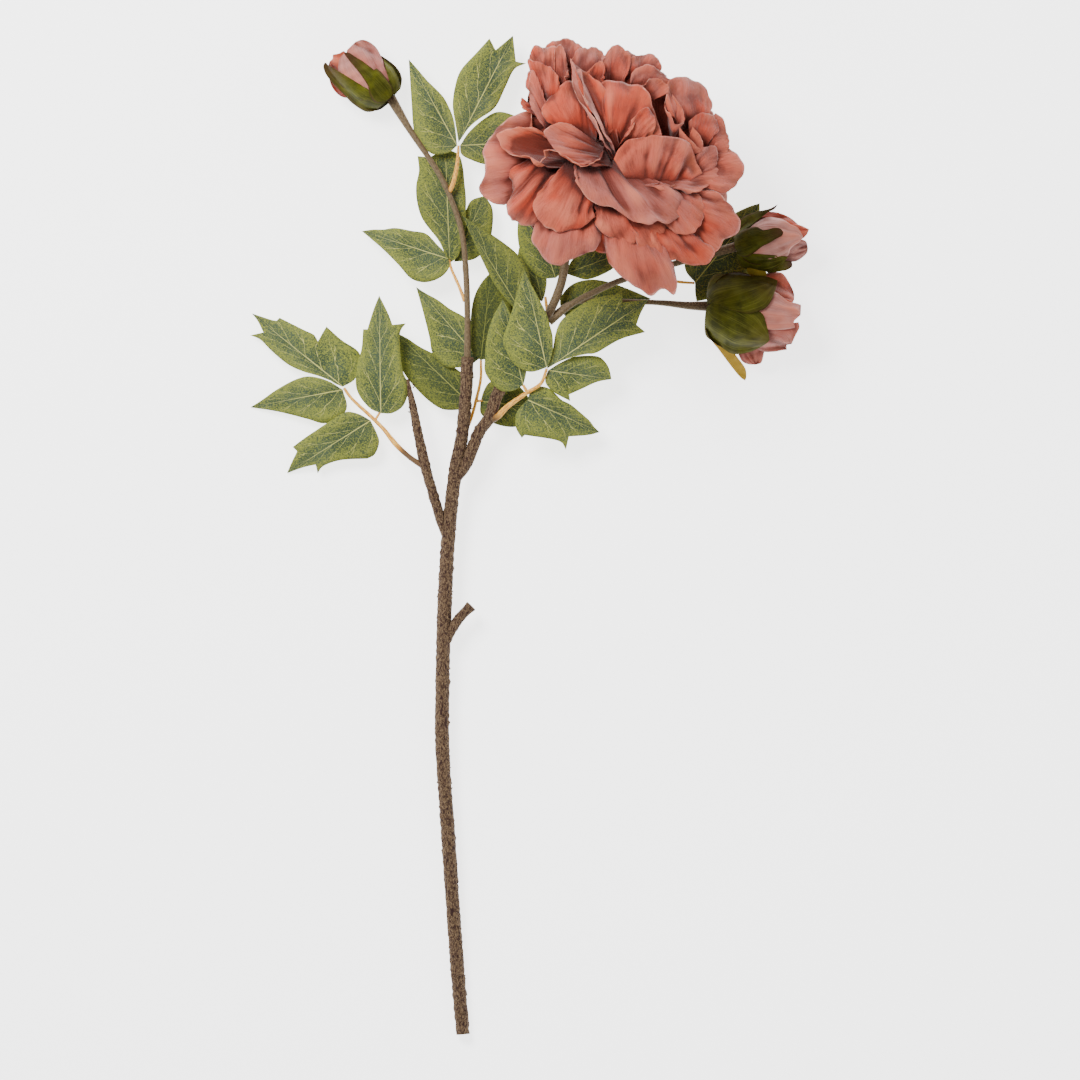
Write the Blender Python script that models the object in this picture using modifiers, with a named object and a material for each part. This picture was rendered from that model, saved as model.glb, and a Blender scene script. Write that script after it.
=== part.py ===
"""Artificial double peony spray, lying on its back on a flat surface.

One woody stem forks into a short left twig, a left bud stem and a right branch; the right branch
carries the large bloom and two more buds. Compound leaves hang from thin stalks.
+Y runs along the stem from its cut end to the flowers, +Z is up from the surface.
Lengths are in millimetres from the cut end of the stem until the last step, which puts the origin
at the middle of the bounding box, on the surface.
"""

import math

import bpy
from mathutils import Vector

MM = 0.001

# Main sizes, mm
TRUNK_RADIUS = 4.8
TRUNK_TOP_RADIUS = 4.2
LEAF_THICKNESS = 0.6
PETAL_THICKNESS = 0.8
BLOOM_RADIUS = 93.0
BLOOM_BASE = (74.0, 560.0, 31.0)
BLOOM_AXIS = (0.39, 0.45, 0.80)
JOINT_GAP = 0.4

COLLECTION = "peony_spray"
JOINER_COLLECTION = "peony_spray_joiners"


# ---------------------------------------------------------------- helpers
def clear_scene():
    for obj in list(bpy.data.objects):
        bpy.data.objects.remove(obj, do_unlink=True)
    for group in list(bpy.data.collections):
        bpy.data.collections.remove(group)


def make_collection(name):
    group = bpy.data.collections.new(name)
    bpy.context.scene.collection.children.link(group)
    return group


def make_material(name, color, roughness):
    mat = bpy.data.materials.new(name)
    mat.use_nodes = True
    shader = mat.node_tree.nodes["Principled BSDF"]
    shader.inputs["Base Color"].default_value = (*color, 1.0)
    shader.inputs["Roughness"].default_value = roughness
    mat.diffuse_color = (*color, 1.0)
    return mat


def smooth_path(points, steps):
    """Catmull-Rom path through the points, with `steps` pieces to each span."""
    pts = [Vector(p) for p in points]
    pts = [pts[0] * 2 - pts[1]] + pts + [pts[-1] * 2 - pts[-2]]
    path = []
    for i in range(1, len(pts) - 2):
        a, b, c, d = pts[i - 1 : i + 3]
        for k in range(steps):
            t = k / steps
            path.append(
                0.5
                * (
                    2 * b
                    + (c - a) * t
                    + (2 * a - 5 * b + 4 * c - d) * t * t
                    + (3 * b - a - 3 * c + d) * t**3
                )
            )
    path.append(pts[-2])
    return path


def tube(name, points, radii, mat, group, steps=2, sides=8):
    """Round tapering stem along a smooth path; radii are one for each given point."""
    path = smooth_path(points, steps)
    curve = bpy.data.curves.new(name, "CURVE")
    curve.dimensions = "3D"
    curve.bevel_depth = MM
    curve.bevel_resolution = (sides - 4) // 2
    curve.render_resolution_u = 0
    curve.use_fill_caps = True
    spline = curve.splines.new("POLY")
    spline.points.add(len(path) - 1)
    for i, p in enumerate(path):
        low = min(i // steps, len(radii) - 2)
        t = i / steps - low
        spline.points[i].co = (*(p * MM), 1.0)
        spline.points[i].radius = radii[low] * (1 - t) + radii[low + 1] * t
    curve.materials.append(mat)
    obj = bpy.data.objects.new(name, curve)
    group.objects.link(obj)
    return obj


def to_mesh(obj):
    """Turn a tube into a closed mesh, with its caps welded on."""
    import bmesh

    graph = bpy.context.evaluated_depsgraph_get()
    mesh = bpy.data.meshes.new_from_object(obj.evaluated_get(graph))
    work = bmesh.new()
    work.from_mesh(mesh)
    bmesh.ops.remove_doubles(work, verts=work.verts, dist=1e-6)
    bmesh.ops.recalc_face_normals(work, faces=work.faces)
    work.to_mesh(mesh)
    work.free()
    name, group, matrix = obj.name, obj.users_collection[0], obj.matrix_world.copy()
    bpy.data.objects.remove(obj, do_unlink=True)
    solid = bpy.data.objects.new(name, mesh)
    solid.matrix_world = matrix
    group.objects.link(solid)
    return solid


def sheet(name, verts, faces, thickness, mat, group):
    """Open surface (points in mm) given a thickness on both sides."""
    mesh = bpy.data.meshes.new(name)
    mesh.from_pydata([tuple(v * MM) for v in verts], [], faces)
    mesh.materials.append(mat)
    obj = bpy.data.objects.new(name, mesh)
    group.objects.link(obj)
    solid = obj.modifiers.new("thickness", "SOLIDIFY")
    solid.thickness = thickness * MM
    solid.offset = 0.0
    return obj


# ---------------------------------------------------------------- woody stem
TRUNK_PATH = (
    (0, 0, 4.9), (-3, 34, 6), (-7, 88, 8), (-10, 134, 10), (-14, 194, 12), (-14, 235, 13),
    (-13, 281, 15), (-10, 339, 17), (-5, 385, 20), (-1, 405, 21), (2, 435, 24), (3, 461, 26),
)
TRUNK_RADII = (4.7, 5.0, 4.8, 5.1, 4.8, 5.0, 4.8, 5.1, 4.8, 4.6, 4.3, TRUNK_TOP_RADIUS)
LEFT_TWIG = ((-10, 338, 17), (-15, 348, 18), (-18, 365, 19), (-24, 379, 20), (-29, 388, 20), (-31, 410, 20), (-37, 445, 21))
LEFT_TWIG_RADII = (3.2, 3.6, 4.0, 3.4, 3.4, 3.0, 1.4)
RIGHT_BRANCH = ((-5, 378, 20), (2, 388, 21), (11, 410, 22), (18, 420, 23), (24, 437, 23.5), (36, 459, 23.5), (49, 478, 22.5))
RIGHT_BRANCH_RADII = (3.6, 4.2, 4.0, 4.2, 3.8, 3.6, 3.6)
STUB = ((-14, 276, 15), (-8, 283, 15.5), (5, 292, 16.5))
STUB_RADII = (3.0, 3.6, 3.2)


def build_trunk(mat, group, joiners):
    trunk = to_mesh(tube("trunk", TRUNK_PATH, TRUNK_RADII, mat, group, 2, 12))
    limbs = (
        ("left_twig_joiner", LEFT_TWIG, LEFT_TWIG_RADII),
        ("right_branch_joiner", RIGHT_BRANCH, RIGHT_BRANCH_RADII),
        ("stub_joiner", STUB, STUB_RADII),
    )
    for name, path, radii in limbs:
        limb = to_mesh(tube(name, path, radii, mat, joiners, 2, 10))
        limb.hide_render = True
        limb.display_type = "WIRE"
        join = trunk.modifiers.new(name, "BOOLEAN")
        join.operation = "UNION"
        join.solver = "EXACT"
        join.object = limb


# ---------------------------------------------------------------- smooth stems and leaf stalks
STEMS = {
    "left_bud_stem": (
        ((3, 462, 26.2), (3, 491, 28), (2, 519, 28), (-1, 547, 27), (-10, 573, 25), (-19, 590, 23), (-35, 615, 20), (-46, 635, 17)),
        (2.5, 2.0, 2.1, 1.9, 1.9, 1.8, 1.8, 2.6),
    ),
    "bloom_stem": (
        ((49.6, 479, 22.4), (59, 492, 21), (67, 512, 17), (70, 532, 14), (71, 546, 16), (73.4, 557, 25.5)),
        (3.2, 3.0, 3.0, 3.0, 3.0, 3.2),
    ),
    "upper_bud_stem": (
        ((60, 486, 26), (74, 497, 27.5), (89, 505, 27), (107, 513, 26), (142, 524, 25), (168, 531, 26), (185, 536, 27.5)),
        (2.2, 2.1, 2.1, 2.1, 2.1, 2.2, 2.8),
    ),
    "lower_bud_stem": (
        ((61, 489, 15.5), (72, 497, 17), (89, 500, 18), (108, 499, 19), (134, 498, 23), (164, 496, 28)),
        (1.8, 1.7, 1.7, 1.7, 1.7, 2.6),
    ),
}

STALKS = {
    "stalk_a": (((-34.3, 391.2, 19.5), (-46, 402, 18), (-54, 412, 17), (-63, 421, 15), (-75, 432, 13), (-80, 438, 11.5)), (1.5, 1.7, 1.3, 1.3, 1.1, 1.0)),
    "stalk_b": (((-6.6, 575, 24.5), (-4, 590, 23), (-3, 603, 23)), (1.2, 1.0, 1.0)),
    "stalk_c": (((-0.6, 500, 27), (-5, 516, 24), (-10, 526, 21)), (1.1, 1.0, 1.0)),
    "stalk_d": (((44.6, 479, 24), (43, 486, 26), (40, 491.5, 27)), (1.1, 1.1, 1.0)),
    "stalk_e": (((0, 410, 15), (5, 418, 14), (10, 432, 14), (12, 457, 16.5)), (1.1, 1.0, 1.0, 0.9)),
    "stalk_f": (((23, 420, 26.8), (31, 428, 28), (44, 437, 31), (53, 443, 33), (57, 451.5, 35)), (1.9, 1.6, 1.3, 1.2, 1.0)),
    "stalk_g": (((56, 494.5, 16.5), (56, 502, 14.5)), (1.1, 1.0)),
    "stalk_h": (((136, 518, 22.5), (143, 513, 16), (156, 511, 11)), (1.1, 1.0, 1.0)),
}


# ---------------------------------------------------------------- leaflets
# Base and tip with their heights, plan outline of the left and right edge from base to tip,
# arch along the leaflet, fall towards its edges, sideways slope.
LEAFLETS = {
    "leaf_a1": ((-56, 425, 17), (-57, 503, 21), ((-63, 426), (-70, 434), (-73, 443), (-72, 456), (-69, 467), (-68, 480), (-65, 480), (-61, 493)), ((-48, 423), (-41, 430), (-40, 441), (-41, 452), (-43, 476), (-39, 484), (-48, 483), (-51, 491)), 4, 1, 0),
    "leaf_a2": ((-81.5, 440.5, 11.5), (-144, 491, 1.5), ((-87, 443), (-92, 446), (-100, 449), (-108, 451), (-119, 456), (-130, 465), (-138, 473), (-145, 476), (-136, 478), (-140, 486)), ((-73, 447), (-70, 463), (-83, 473), (-93, 482), (-98, 469), (-101, 476), (-107, 479), (-117, 484), (-125, 488), (-128, 486)), 3, 1, 0),
    "leaf_a3": ((-81.5, 435.5, 8.5), (-145, 427, 1), ((-79, 427), (-85, 419), (-95, 416), (-106, 419), (-126, 424)), ((-92, 445), (-104, 448), (-114, 446), (-127, 439), (-137, 432)), 3, 1, 0),
    "leaf_a4": ((-64.5, 417, 13), (-120, 382, 1), ((-59, 410), (-57, 403), (-60, 395), (-65, 392), (-83, 391), (-95, 387), (-99, 382), (-100, 388), (-109, 386)), ((-70, 422), (-78, 424), (-84, 422), (-90, 418), (-96, 414), (-108, 406), (-116, 400), (-113, 397), (-117, 389)), 4, 1, 0),
    "leaf_b1": ((-6.5, 605, 21), (-37, 664, 14), ((-10, 600), (-20, 599), (-27, 604), (-32, 611), (-34, 619), (-35, 634), (-36, 649)), ((-5, 615), (-7, 625), (-12, 636), (-16, 641), (-20, 645), (-25, 650), (-30, 656)), 3, 1, 0.17),
    "leaf_b2": ((-2, 607, 24), (34, 680, 14), ((-5, 619), (-7, 633), (-5, 647), (-1, 657), (9, 668), (18, 678), (21, 669)), ((4, 617), (11, 623), (22, 631), (29, 645), (35, 657), (43, 661), (36, 662)), 4, 1, 0),
    "leaf_b3": ((-0.5, 604, 21.5), (60, 608, 12), ((4, 614), (14, 623), (24, 628), (36, 625), (49, 618)), ((-1, 599), (6, 595), (16, 592), (30, 592), (46, 598)), 3, 1, 0),
    "leaf_c1": ((-12, 527, 22.5), (-69, 547, 8), ((-14, 518), (-20, 513), (-28, 512), (-36, 515), (-44, 524), (-55, 535)), ((-13, 533), (-17, 537), (-25, 545), (-35, 547), (-46, 549), (-54, 548), (-61, 548)), 4, 1, 0),
    "leaf_c2": ((-10, 528.5, 19), (-12, 603, 12), ((-13, 533), (-17, 541), (-27, 554), (-31, 565), (-32, 577), (-30, 588), (-31, 598), (-23, 597)), ((-3, 530), (0, 540), (2, 550), (2, 560), (2, 570), (1, 580), (0, 590), (-3, 599)), 3, 1, 0),
    "leaf_c3": ((-7.5, 526.5, 15), (15, 571, 11), ((-4, 537), (-1, 550), (2, 561), (6, 568)), ((8, 528), (17, 537), (20, 549), (20, 562)), 2, 1, 0),
    "leaf_d": ((39, 493, 27), (-1, 558, 22), ((33, 496), (27, 503), (21, 511), (14, 525), (8, 538), (3, 549)), ((45, 499), (46, 511), (43, 523), (36, 532), (26, 540), (11, 550)), 2, 1, 0),
    "leaf_e1": ((10.5, 459, 16), (-32, 509, 5), ((4, 455), (-4, 454), (-10, 454), (-16, 458), (-21, 464), (-23, 475), (-27, 491)), ((12, 468), (10, 477), (5, 484), (0, 489), (-9, 494), (-17, 500), (-26, 505)), 2, 1, 0),
    "leaf_e2": ((12.5, 459, 18.5), (19, 519, 17), ((6, 465), (5, 475), (5, 485), (7, 500), (12, 511)), ((20, 462), (28, 472), (32, 486), (32, 500), (27, 511)), 2, 1, 0),
    "leaf_e3": ((15, 457, 11.5), (40, 498, 12), ((14, 467), (16, 478), (22, 489), (31, 496)), ((24, 456), (34, 463), (41, 475), (43, 487)), 2, 1, 0),
    "leaf_e4": ((7, 432, 12.5), (-46, 478, 5), ((-1, 426), (-7, 425), (-15, 426), (-24, 432), (-33, 441), (-40, 450), (-46, 463)), ((5, 440), (2, 448), (-3, 452), (-11, 458), (-19, 463), (-29, 468), (-38, 474)), 2, 1, 0),
    "leaf_e5": ((12.5, 431, 12.5), (48, 427, 6), ((14, 438), (18, 444), (26, 447), (35, 444), (43, 436)), ((12, 423), (19, 417), (28, 414), (37, 414), (43, 419)), 2, 1, 0),
    "leaf_f1": ((56.5, 454, 36.5), (42, 520, 40), ((48, 451), (41, 452), (34, 457), (30, 464), (27, 472), (31, 485), (35, 498), (39, 512)), ((59, 458), (61, 465), (61, 475), (59, 483), (57, 490), (53, 498), (50, 504), (45, 513)), 3, 1, 0),
    "leaf_f2": ((42.5, 440, 30), (27, 500, 33), ((34, 438), (26, 438), (20, 443), (15, 451), (15, 460), (16, 473), (20, 487)), ((43, 450), (43, 458), (41, 466), (39, 474), (36, 482), (33, 489), (30, 495)), 2, 1, 0),
    "leaf_f3": ((59, 453, 34.5), (126, 500, 27), ((61, 466), (63, 477), (67, 486), (78, 495), (89, 501), (104, 504), (108, 507), (107, 498)), ((67, 456), (75, 461), (84, 463), (91, 464), (107, 473), (124, 478), (118, 483), (121, 491)), 3, 1, 0),
    "leaf_f4": ((59, 450.5, 32.5), (101, 446, 24), ((66, 457), (75, 461), (85, 462), (93, 461), (98, 456), (100, 451)), ((56, 444), (62, 437), (73, 431), (71, 435), (80, 439), (91, 444)), 2, 1, 0),
    "leaf_f5": ((46, 434, 29), (93, 410, 16), ((46, 438), (51, 441), (58, 440), (63, 436), (67, 432), (73, 429), (78, 425), (86, 418), (89, 414)), ((40, 428), (36, 422), (36, 413), (40, 406), (42, 408), (65, 404), (70, 398), (72, 407), (85, 408)), 3, 1, 0),
    "leaf_g1": ((56, 503.5, 14), (44, 572, 11), ((53, 515), (45, 522), (39, 533), (37, 547), (39, 561)), ((68, 520), (69, 529), (68, 541), (63, 554), (55, 565)), -1, 1, 0.15),
    "leaf_g2": ((54, 501, 12), (43, 546, 8), ((46, 502), (40, 511), (37, 522), (38, 535)), ((56, 505), (57, 514), (55, 524), (50, 536)), 0.5, 1, 0),
    "leaf_g3": ((62, 500, 10), (128, 501, 5), ((65, 503), (70, 507), (77, 512), (88, 514), (100, 512), (114, 507)), ((72, 487), (80, 485), (92, 485), (104, 488), (114, 492), (122, 497)), 2, 1, 0),
    "leaf_g4": ((60, 504, 6.5), (113, 534, 4), ((65, 516), (74, 527), (82, 534), (92, 539), (103, 540)), ((70, 506), (80, 508), (90, 512), (99, 518), (107, 526)), 2, 1, 0),
    "leaf_h": ((157.5, 511, 10), (202, 566, 4), ((152, 519), (151, 527), (156, 537), (168, 549), (181, 557), (193, 563)), ((158, 505), (159, 499), (168, 504), (180, 516), (190, 531), (198, 547)), 2, 1, 0),
}


def edge_points(base, points, tip, count):
    """Points of one edge, made up to `count` by halving its longest stretches."""
    line = [tuple(base), *points, tuple(tip)]
    while len(line) < count + 2:
        i = max(range(len(line) - 1), key=lambda k: math.dist(line[k], line[k + 1]))
        line.insert(i + 1, tuple((a + b) / 2 for a, b in zip(line[i], line[i + 1])))
    return line[1:-1]


def leaflet(name, spec, mat, group):
    base, tip, left, right, arch, cup, slope = spec
    start = Vector(base[:2])
    axis = Vector(tip[:2]) - start
    length = axis.length
    axis.normalize()
    side = Vector((-axis.y, axis.x))
    rows = max(len(left), len(right))
    edges = []
    for points in (left, right):
        offsets = [Vector(p) - start for p in edge_points(base[:2], points, tip[:2], rows)]
        edges.append([(offset.dot(axis) / length, offset.dot(side)) for offset in offsets])
    width = max(abs(across) for edge in edges for share, across in edge)

    def place(share, across):
        plan = start + axis * (share * length) + side * across
        height = base[2] + (tip[2] - base[2]) * share + arch * 4 * share * (1 - share)
        return Vector((plan.x, plan.y, height - cup * (across / width) ** 2 + slope * across))

    verts, mid = [Vector(base)], 0.0
    for (left_share, left_across), (right_share, right_across) in zip(*edges):
        lag = (left_across - right_across) / 8 / length
        mid = min(max(mid + 0.03, (left_share + right_share) / 2 - lag), 0.96)
        for share, across in ((left_share, left_across), (right_share, right_across)):
            verts.append(place(share, across))
            verts.append(place((share + mid) / 2, across / 2))
        verts.append(place(mid, 0))
    verts.append(Vector(tip))
    last = len(verts) - 1

    def row(i):
        start = 1 + 5 * i
        return (start, start + 1, start + 4, start + 3, start + 2)

    faces = []
    for a, b in zip(row(0), row(0)[1:]):
        faces.append((0, b, a))
    for i in range(rows - 1):
        lower, upper = row(i), row(i + 1)
        for k in range(4):
            faces.append((lower[k], lower[k + 1], upper[k + 1], upper[k]))
    for a, b in zip(row(rows - 1), row(rows - 1)[1:]):
        faces.append((a, b, last))
    return sheet(name, verts, faces, LEAF_THICKNESS, mat, group)


# ---------------------------------------------------------------- petals
def lobed_cup(name, base, axis, meridian, lobes, phase, notch, thickness, mat, group, rings=4, steps=6, ruffle=0.0):
    """Layer of joined petals: a cup around the axis whose rim falls back between the petals.

    The meridian is a curve through three points (distance from the axis, height along it).
    """
    base, axis = Vector(base), Vector(axis).normalized()
    first = axis.cross(Vector((0, 0, 1)) if abs(axis.z) < 0.95 else Vector((0, 1, 0))).normalized()
    second = axis.cross(first)
    (r0, h0), (r1, h1), (r2, h2) = meridian
    around = lobes * steps

    def at(u, angle):
        r = (1 - u) ** 2 * r0 + 2 * u * (1 - u) * r1 + u * u * r2
        h = (1 - u) ** 2 * h0 + 2 * u * (1 - u) * h1 + u * u * h2
        return base + axis * h + (first * math.cos(angle) + second * math.sin(angle)) * r

    verts = [base + axis * h0]
    for k in range(rings):
        for j in range(around):
            angle = 2 * math.pi * j / around + math.radians(phase)
            lobe = abs(math.sin(math.pi * j / steps)) ** 0.4
            reach = notch + (1 - notch) * lobe
            u = 0.08 + (reach - 0.08) * ((k / (rings - 1)) ** 0.9)
            wave = ruffle * (k / (rings - 1)) ** 2 * math.sin(2 * math.pi * j * 2 / steps)
            verts.append(at(u, angle) + axis * wave)
    faces = [(0, 1 + j, 1 + (j + 1) % around) for j in range(around)]
    for k in range(rings - 1):
        low, high = 1 + k * around, 1 + (k + 1) * around
        for j in range(around):
            n = (j + 1) % around
            faces.append((low + j, high + j, high + n, low + n))
    return sheet(name, verts, faces, thickness, mat, group)


def turned(name, base, axis, profile, mat, group, around=12, ridge=0.0, ridges=5):
    """Closed solid turned about the axis from (radius, height) pairs, bottom to top, with soft ridges."""
    base, axis = Vector(base), Vector(axis).normalized()
    first = axis.cross(Vector((0, 0, 1)) if abs(axis.z) < 0.95 else Vector((0, 1, 0))).normalized()
    second = axis.cross(first)
    verts = [base + axis * profile[0][1]]
    for r, h in profile[1:-1]:
        for j in range(around):
            angle = 2 * math.pi * j / around
            bulge = 1 + ridge * math.cos(ridges * angle + h * 0.05)
            verts.append(base + axis * h + (first * math.cos(angle) + second * math.sin(angle)) * r * bulge)
    verts.append(base + axis * profile[-1][1])
    last, levels = len(verts) - 1, len(profile) - 2
    faces = [(0, 1 + (j + 1) % around, 1 + j) for j in range(around)]
    for k in range(levels - 1):
        low, high = 1 + k * around, 1 + (k + 1) * around
        for j in range(around):
            n = (j + 1) % around
            faces.append((low + j, low + n, high + n, high + j))
    top = 1 + (levels - 1) * around
    faces += [(top + j, top + (j + 1) % around, last) for j in range(around)]
    mesh = bpy.data.meshes.new(name)
    mesh.from_pydata([tuple(v * MM) for v in verts], [], faces)
    mesh.materials.append(mat)
    obj = bpy.data.objects.new(name, mesh)
    group.objects.link(obj)
    return obj


# Layers from the outside in: meridian, petals, turn (degrees), depth of the gaps between petals
BLOOM_LAYERS = (
    (((0, 4.0), (74, -3), (90, 38)), 6, 0, 0.50),
    (((0, 5.6), (76, 6), (BLOOM_RADIUS, 58)), 6, 28, 0.50),
    (((0, 7.2), (74, 14), (86, 80)), 6, 8, 0.52),
    (((0, 8.8), (64, 20), (72, 95)), 5, 30, 0.55),
    (((0, 10.4), (54, 26), (56, 104)), 5, 0, 0.58),
    (((0, 12.0), (42, 32), (38, 107)), 5, 40, 0.60),
    (((0, 13.6), (28, 36), (20, 104)), 4, 10, 0.62),
)


def build_bloom(petal, heart, green, group):
    turned("bloom_calyx", BLOOM_BASE, BLOOM_AXIS, ((0, -4), (4.5, -4), (8, -1), (8.5, 1.5), (6, 2.8), (0, 2.8)), green, group, 12)
    for i, (meridian, lobes, phase, notch) in enumerate(BLOOM_LAYERS):
        lobed_cup(f"bloom_layer_{i + 1}", BLOOM_BASE, BLOOM_AXIS, meridian, lobes, phase, notch, PETAL_THICKNESS, petal, group, 4, 6, 2.0 if i < 4 else 0.6)
    turned("bloom_heart", BLOOM_BASE, BLOOM_AXIS, ((0, 18.5), (2, 18.5), (7, 32), (11, 56), (9.5, 78), (5, 92), (0, 94)), heart, group, 12, 0.12, 4)


# name: base, axis, calyx (radius, length, sepals, gap depth), petals (radius, length), heart (radius, length)
BUDS = {
    "left_bud": ((-47.4, 637, 17.2), (-0.76, 0.60, 0.22), (20, 33, 5, 0.45), (18, 46), (10, 41)),
    "upper_bud": ((186.5, 536.4, 28), (0.96, 0.22, 0.08), (18, 36, 5, 0.40), (16, 47), (8.5, 43)),
    "lower_bud": ((165.5, 495.6, 28.6), (0.98, -0.16, 0.06), (27, 48, 3, 0.62), (26, 62), (14, 53)),
}


def build_bud(name, spec, petal, heart, green, group):
    base, axis, (calyx_radius, calyx_length, sepals, depth), (radius, length), (core_radius, core_length) = spec
    lobed_cup(f"{name}_calyx", base, axis, ((0, 0.8), (calyx_radius * 1.35, 1), (calyx_radius, calyx_length)), sepals, 20, depth, PETAL_THICKNESS, green, group, 4, 6)
    lobed_cup(f"{name}_petals", base, axis, ((0, 2.4), (radius * 1.25, 4), (radius * 0.86, length)), 5, 50, 0.72, PETAL_THICKNESS, petal, group, 4, 6)
    c, k = core_radius, core_length
    turned(f"{name}_heart", base, axis, ((0, 4), (c * 0.35, 4), (c * 0.72, k * 0.3), (c * 0.9, k * 0.55), (c * 0.78, k * 0.82), (c * 0.3, k * 0.98), (0, k)), heart, group, 10, 0.06, 5)


# ---------------------------------------------------------------- assembly
def settle(group, joiners):
    """Put the origin at the middle of the bounding box, on the lowest point."""
    bpy.context.view_layer.update()
    graph = bpy.context.evaluated_depsgraph_get()
    low, high = Vector((1e9,) * 3), Vector((-1e9,) * 3)
    for obj in group.objects:
        mesh = bpy.data.meshes.new_from_object(obj.evaluated_get(graph))
        for v in mesh.vertices:
            p = obj.matrix_world @ v.co
            low = Vector(map(min, low, p))
            high = Vector(map(max, high, p))
        bpy.data.meshes.remove(mesh)
    shift = Vector(((low.x + high.x) / 2, (low.y + high.y) / 2, low.z))
    for obj in list(group.objects) + list(joiners.objects):
        points = obj.data.vertices if obj.type == "MESH" else obj.data.splines[0].points
        for p in points:
            if obj.type == "MESH":
                p.co = p.co - shift
            else:
                p.co = (p.co.x - shift.x, p.co.y - shift.y, p.co.z - shift.z, 1.0)


def build():
    clear_scene()
    group, joiners = make_collection(COLLECTION), make_collection(JOINER_COLLECTION)
    joiners.hide_render = True
    bark = make_material("bark", (0.13, 0.09, 0.06), 0.9)
    stem = make_material("stem", (0.16, 0.12, 0.07), 0.6)
    stalk = make_material("stalk", (0.72, 0.42, 0.16), 0.6)
    leaf = make_material("leaf", (0.12, 0.19, 0.09), 0.8)
    sepal = make_material("sepal", (0.08, 0.09, 0.02), 0.7)
    petal = make_material("petal", (0.56, 0.22, 0.17), 0.8)
    heart = make_material("petal_inner", (0.50, 0.13, 0.07), 0.8)
    build_trunk(bark, group, joiners)
    for name, (path, radii) in STEMS.items():
        tube(name, path, radii, stem, group, 2, 8)
    for name, (path, radii) in STALKS.items():
        tube(name, path, radii, stalk, group, 2, 6)
    for name, spec in LEAFLETS.items():
        leaflet(name, spec, leaf, group)
    build_bloom(petal, heart, sepal, group)
    for name, spec in BUDS.items():
        build_bud(name, spec, petal, heart, sepal, group)
    settle(group, joiners)


build()
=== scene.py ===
"""Looks for the artificial peony spray: fabric leaves and petals, moulded bark, studio floor and light."""

import math
import random

import bpy
import numpy as np
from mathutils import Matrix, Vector


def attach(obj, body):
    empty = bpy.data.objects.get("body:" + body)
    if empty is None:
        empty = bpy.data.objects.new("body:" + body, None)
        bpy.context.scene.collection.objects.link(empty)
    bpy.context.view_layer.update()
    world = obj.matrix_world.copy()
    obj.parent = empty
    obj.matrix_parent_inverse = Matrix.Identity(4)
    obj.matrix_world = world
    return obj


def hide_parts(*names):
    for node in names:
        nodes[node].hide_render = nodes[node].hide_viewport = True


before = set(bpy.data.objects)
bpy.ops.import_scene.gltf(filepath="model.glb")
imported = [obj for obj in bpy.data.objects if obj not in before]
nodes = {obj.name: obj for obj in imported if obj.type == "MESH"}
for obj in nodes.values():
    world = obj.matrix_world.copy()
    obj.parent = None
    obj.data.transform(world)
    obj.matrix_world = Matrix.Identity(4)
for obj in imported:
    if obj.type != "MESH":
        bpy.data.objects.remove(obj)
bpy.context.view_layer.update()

MM = 0.001
FULL_TURN = 2 * math.pi

# ---------------------------------------------------------------- shared frame
# Lengths below are in millimetres from a point on the floor under the middle of the stem's cut end.
CUT_END_HEIGHT = 4.9
CUT_END_DEPTH = 1.5
trunk_points = np.array([tuple(nodes["trunk"].matrix_world @ v.co) for v in nodes["trunk"].data.vertices])
cut_end = trunk_points[trunk_points[:, 1] < trunk_points[:, 1].min() + CUT_END_DEPTH * MM].mean(axis=0)
SHIFT = cut_end - np.array((0.0, 0.0, CUT_END_HEIGHT)) * MM


def place(points):
    """Millimetres from the cut end to metres in the shared frame."""
    return np.asarray(points, float) * MM + SHIFT


# ---------------------------------------------------------------- meshes
def link(name, data):
    obj = bpy.data.objects.new(name, data)
    bpy.context.scene.collection.objects.link(obj)
    return obj


def make_piece(name, patches, material, replaced, thickness=0.0):
    """One mesh from several grids; a patch is (points[rows, cols, 3] in mm, uv[rows, cols, 2], tone, closed, shade).

    The shade may be left out. A thickness in mm makes a sheet solid.
    """
    verts, faces, uvs, tones, shades = [], [], [], [], []
    for points, uv, tone, closed, *more in patches:
        rows, cols = points.shape[:2]
        start = len(verts)
        verts.extend(map(tuple, place(points.reshape(-1, 3))))
        uvs.extend(map(tuple, uv.reshape(-1, 2)))
        tones.extend(np.broadcast_to(tone, (rows, cols)).reshape(-1))
        shades.extend(np.broadcast_to(more[0] if more else 0.5, (rows, cols)).reshape(-1))
        for row in range(start, start + (rows - 1) * cols, cols):
            for j in range(cols if closed else cols - 1):
                k = (j + 1) % cols
                faces.append((row + j, row + k, row + cols + k, row + cols + j))
        if closed:
            faces.append(tuple(start + j for j in reversed(range(cols))))
            faces.append(tuple(start + (rows - 1) * cols + j for j in range(cols)))
    mesh = bpy.data.meshes.new(name)
    mesh.from_pydata(verts, [], faces)
    layer = mesh.uv_layers.new(name="UVMap")
    loop_verts = np.empty(len(mesh.loops), dtype=np.int64)
    mesh.loops.foreach_get("vertex_index", loop_verts)
    layer.data.foreach_set("uv", np.asarray(uvs, dtype=np.float32)[loop_verts].ravel())
    for title, values in (("tone", tones), ("shade", shades)):
        layer = mesh.attributes.new(title, "FLOAT", "POINT")
        layer.data.foreach_set("value", np.asarray(values, dtype=np.float32))
    mesh.polygons.foreach_set("use_smooth", [True] * len(mesh.polygons))
    mesh.materials.append(material)
    mesh.update()
    obj = link(name, mesh)
    if thickness:
        solid = obj.modifiers.new("thickness", "SOLIDIFY")
        solid.thickness = thickness * MM
        solid.offset = 0.0
    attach(obj, "root")
    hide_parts(replaced)


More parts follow.
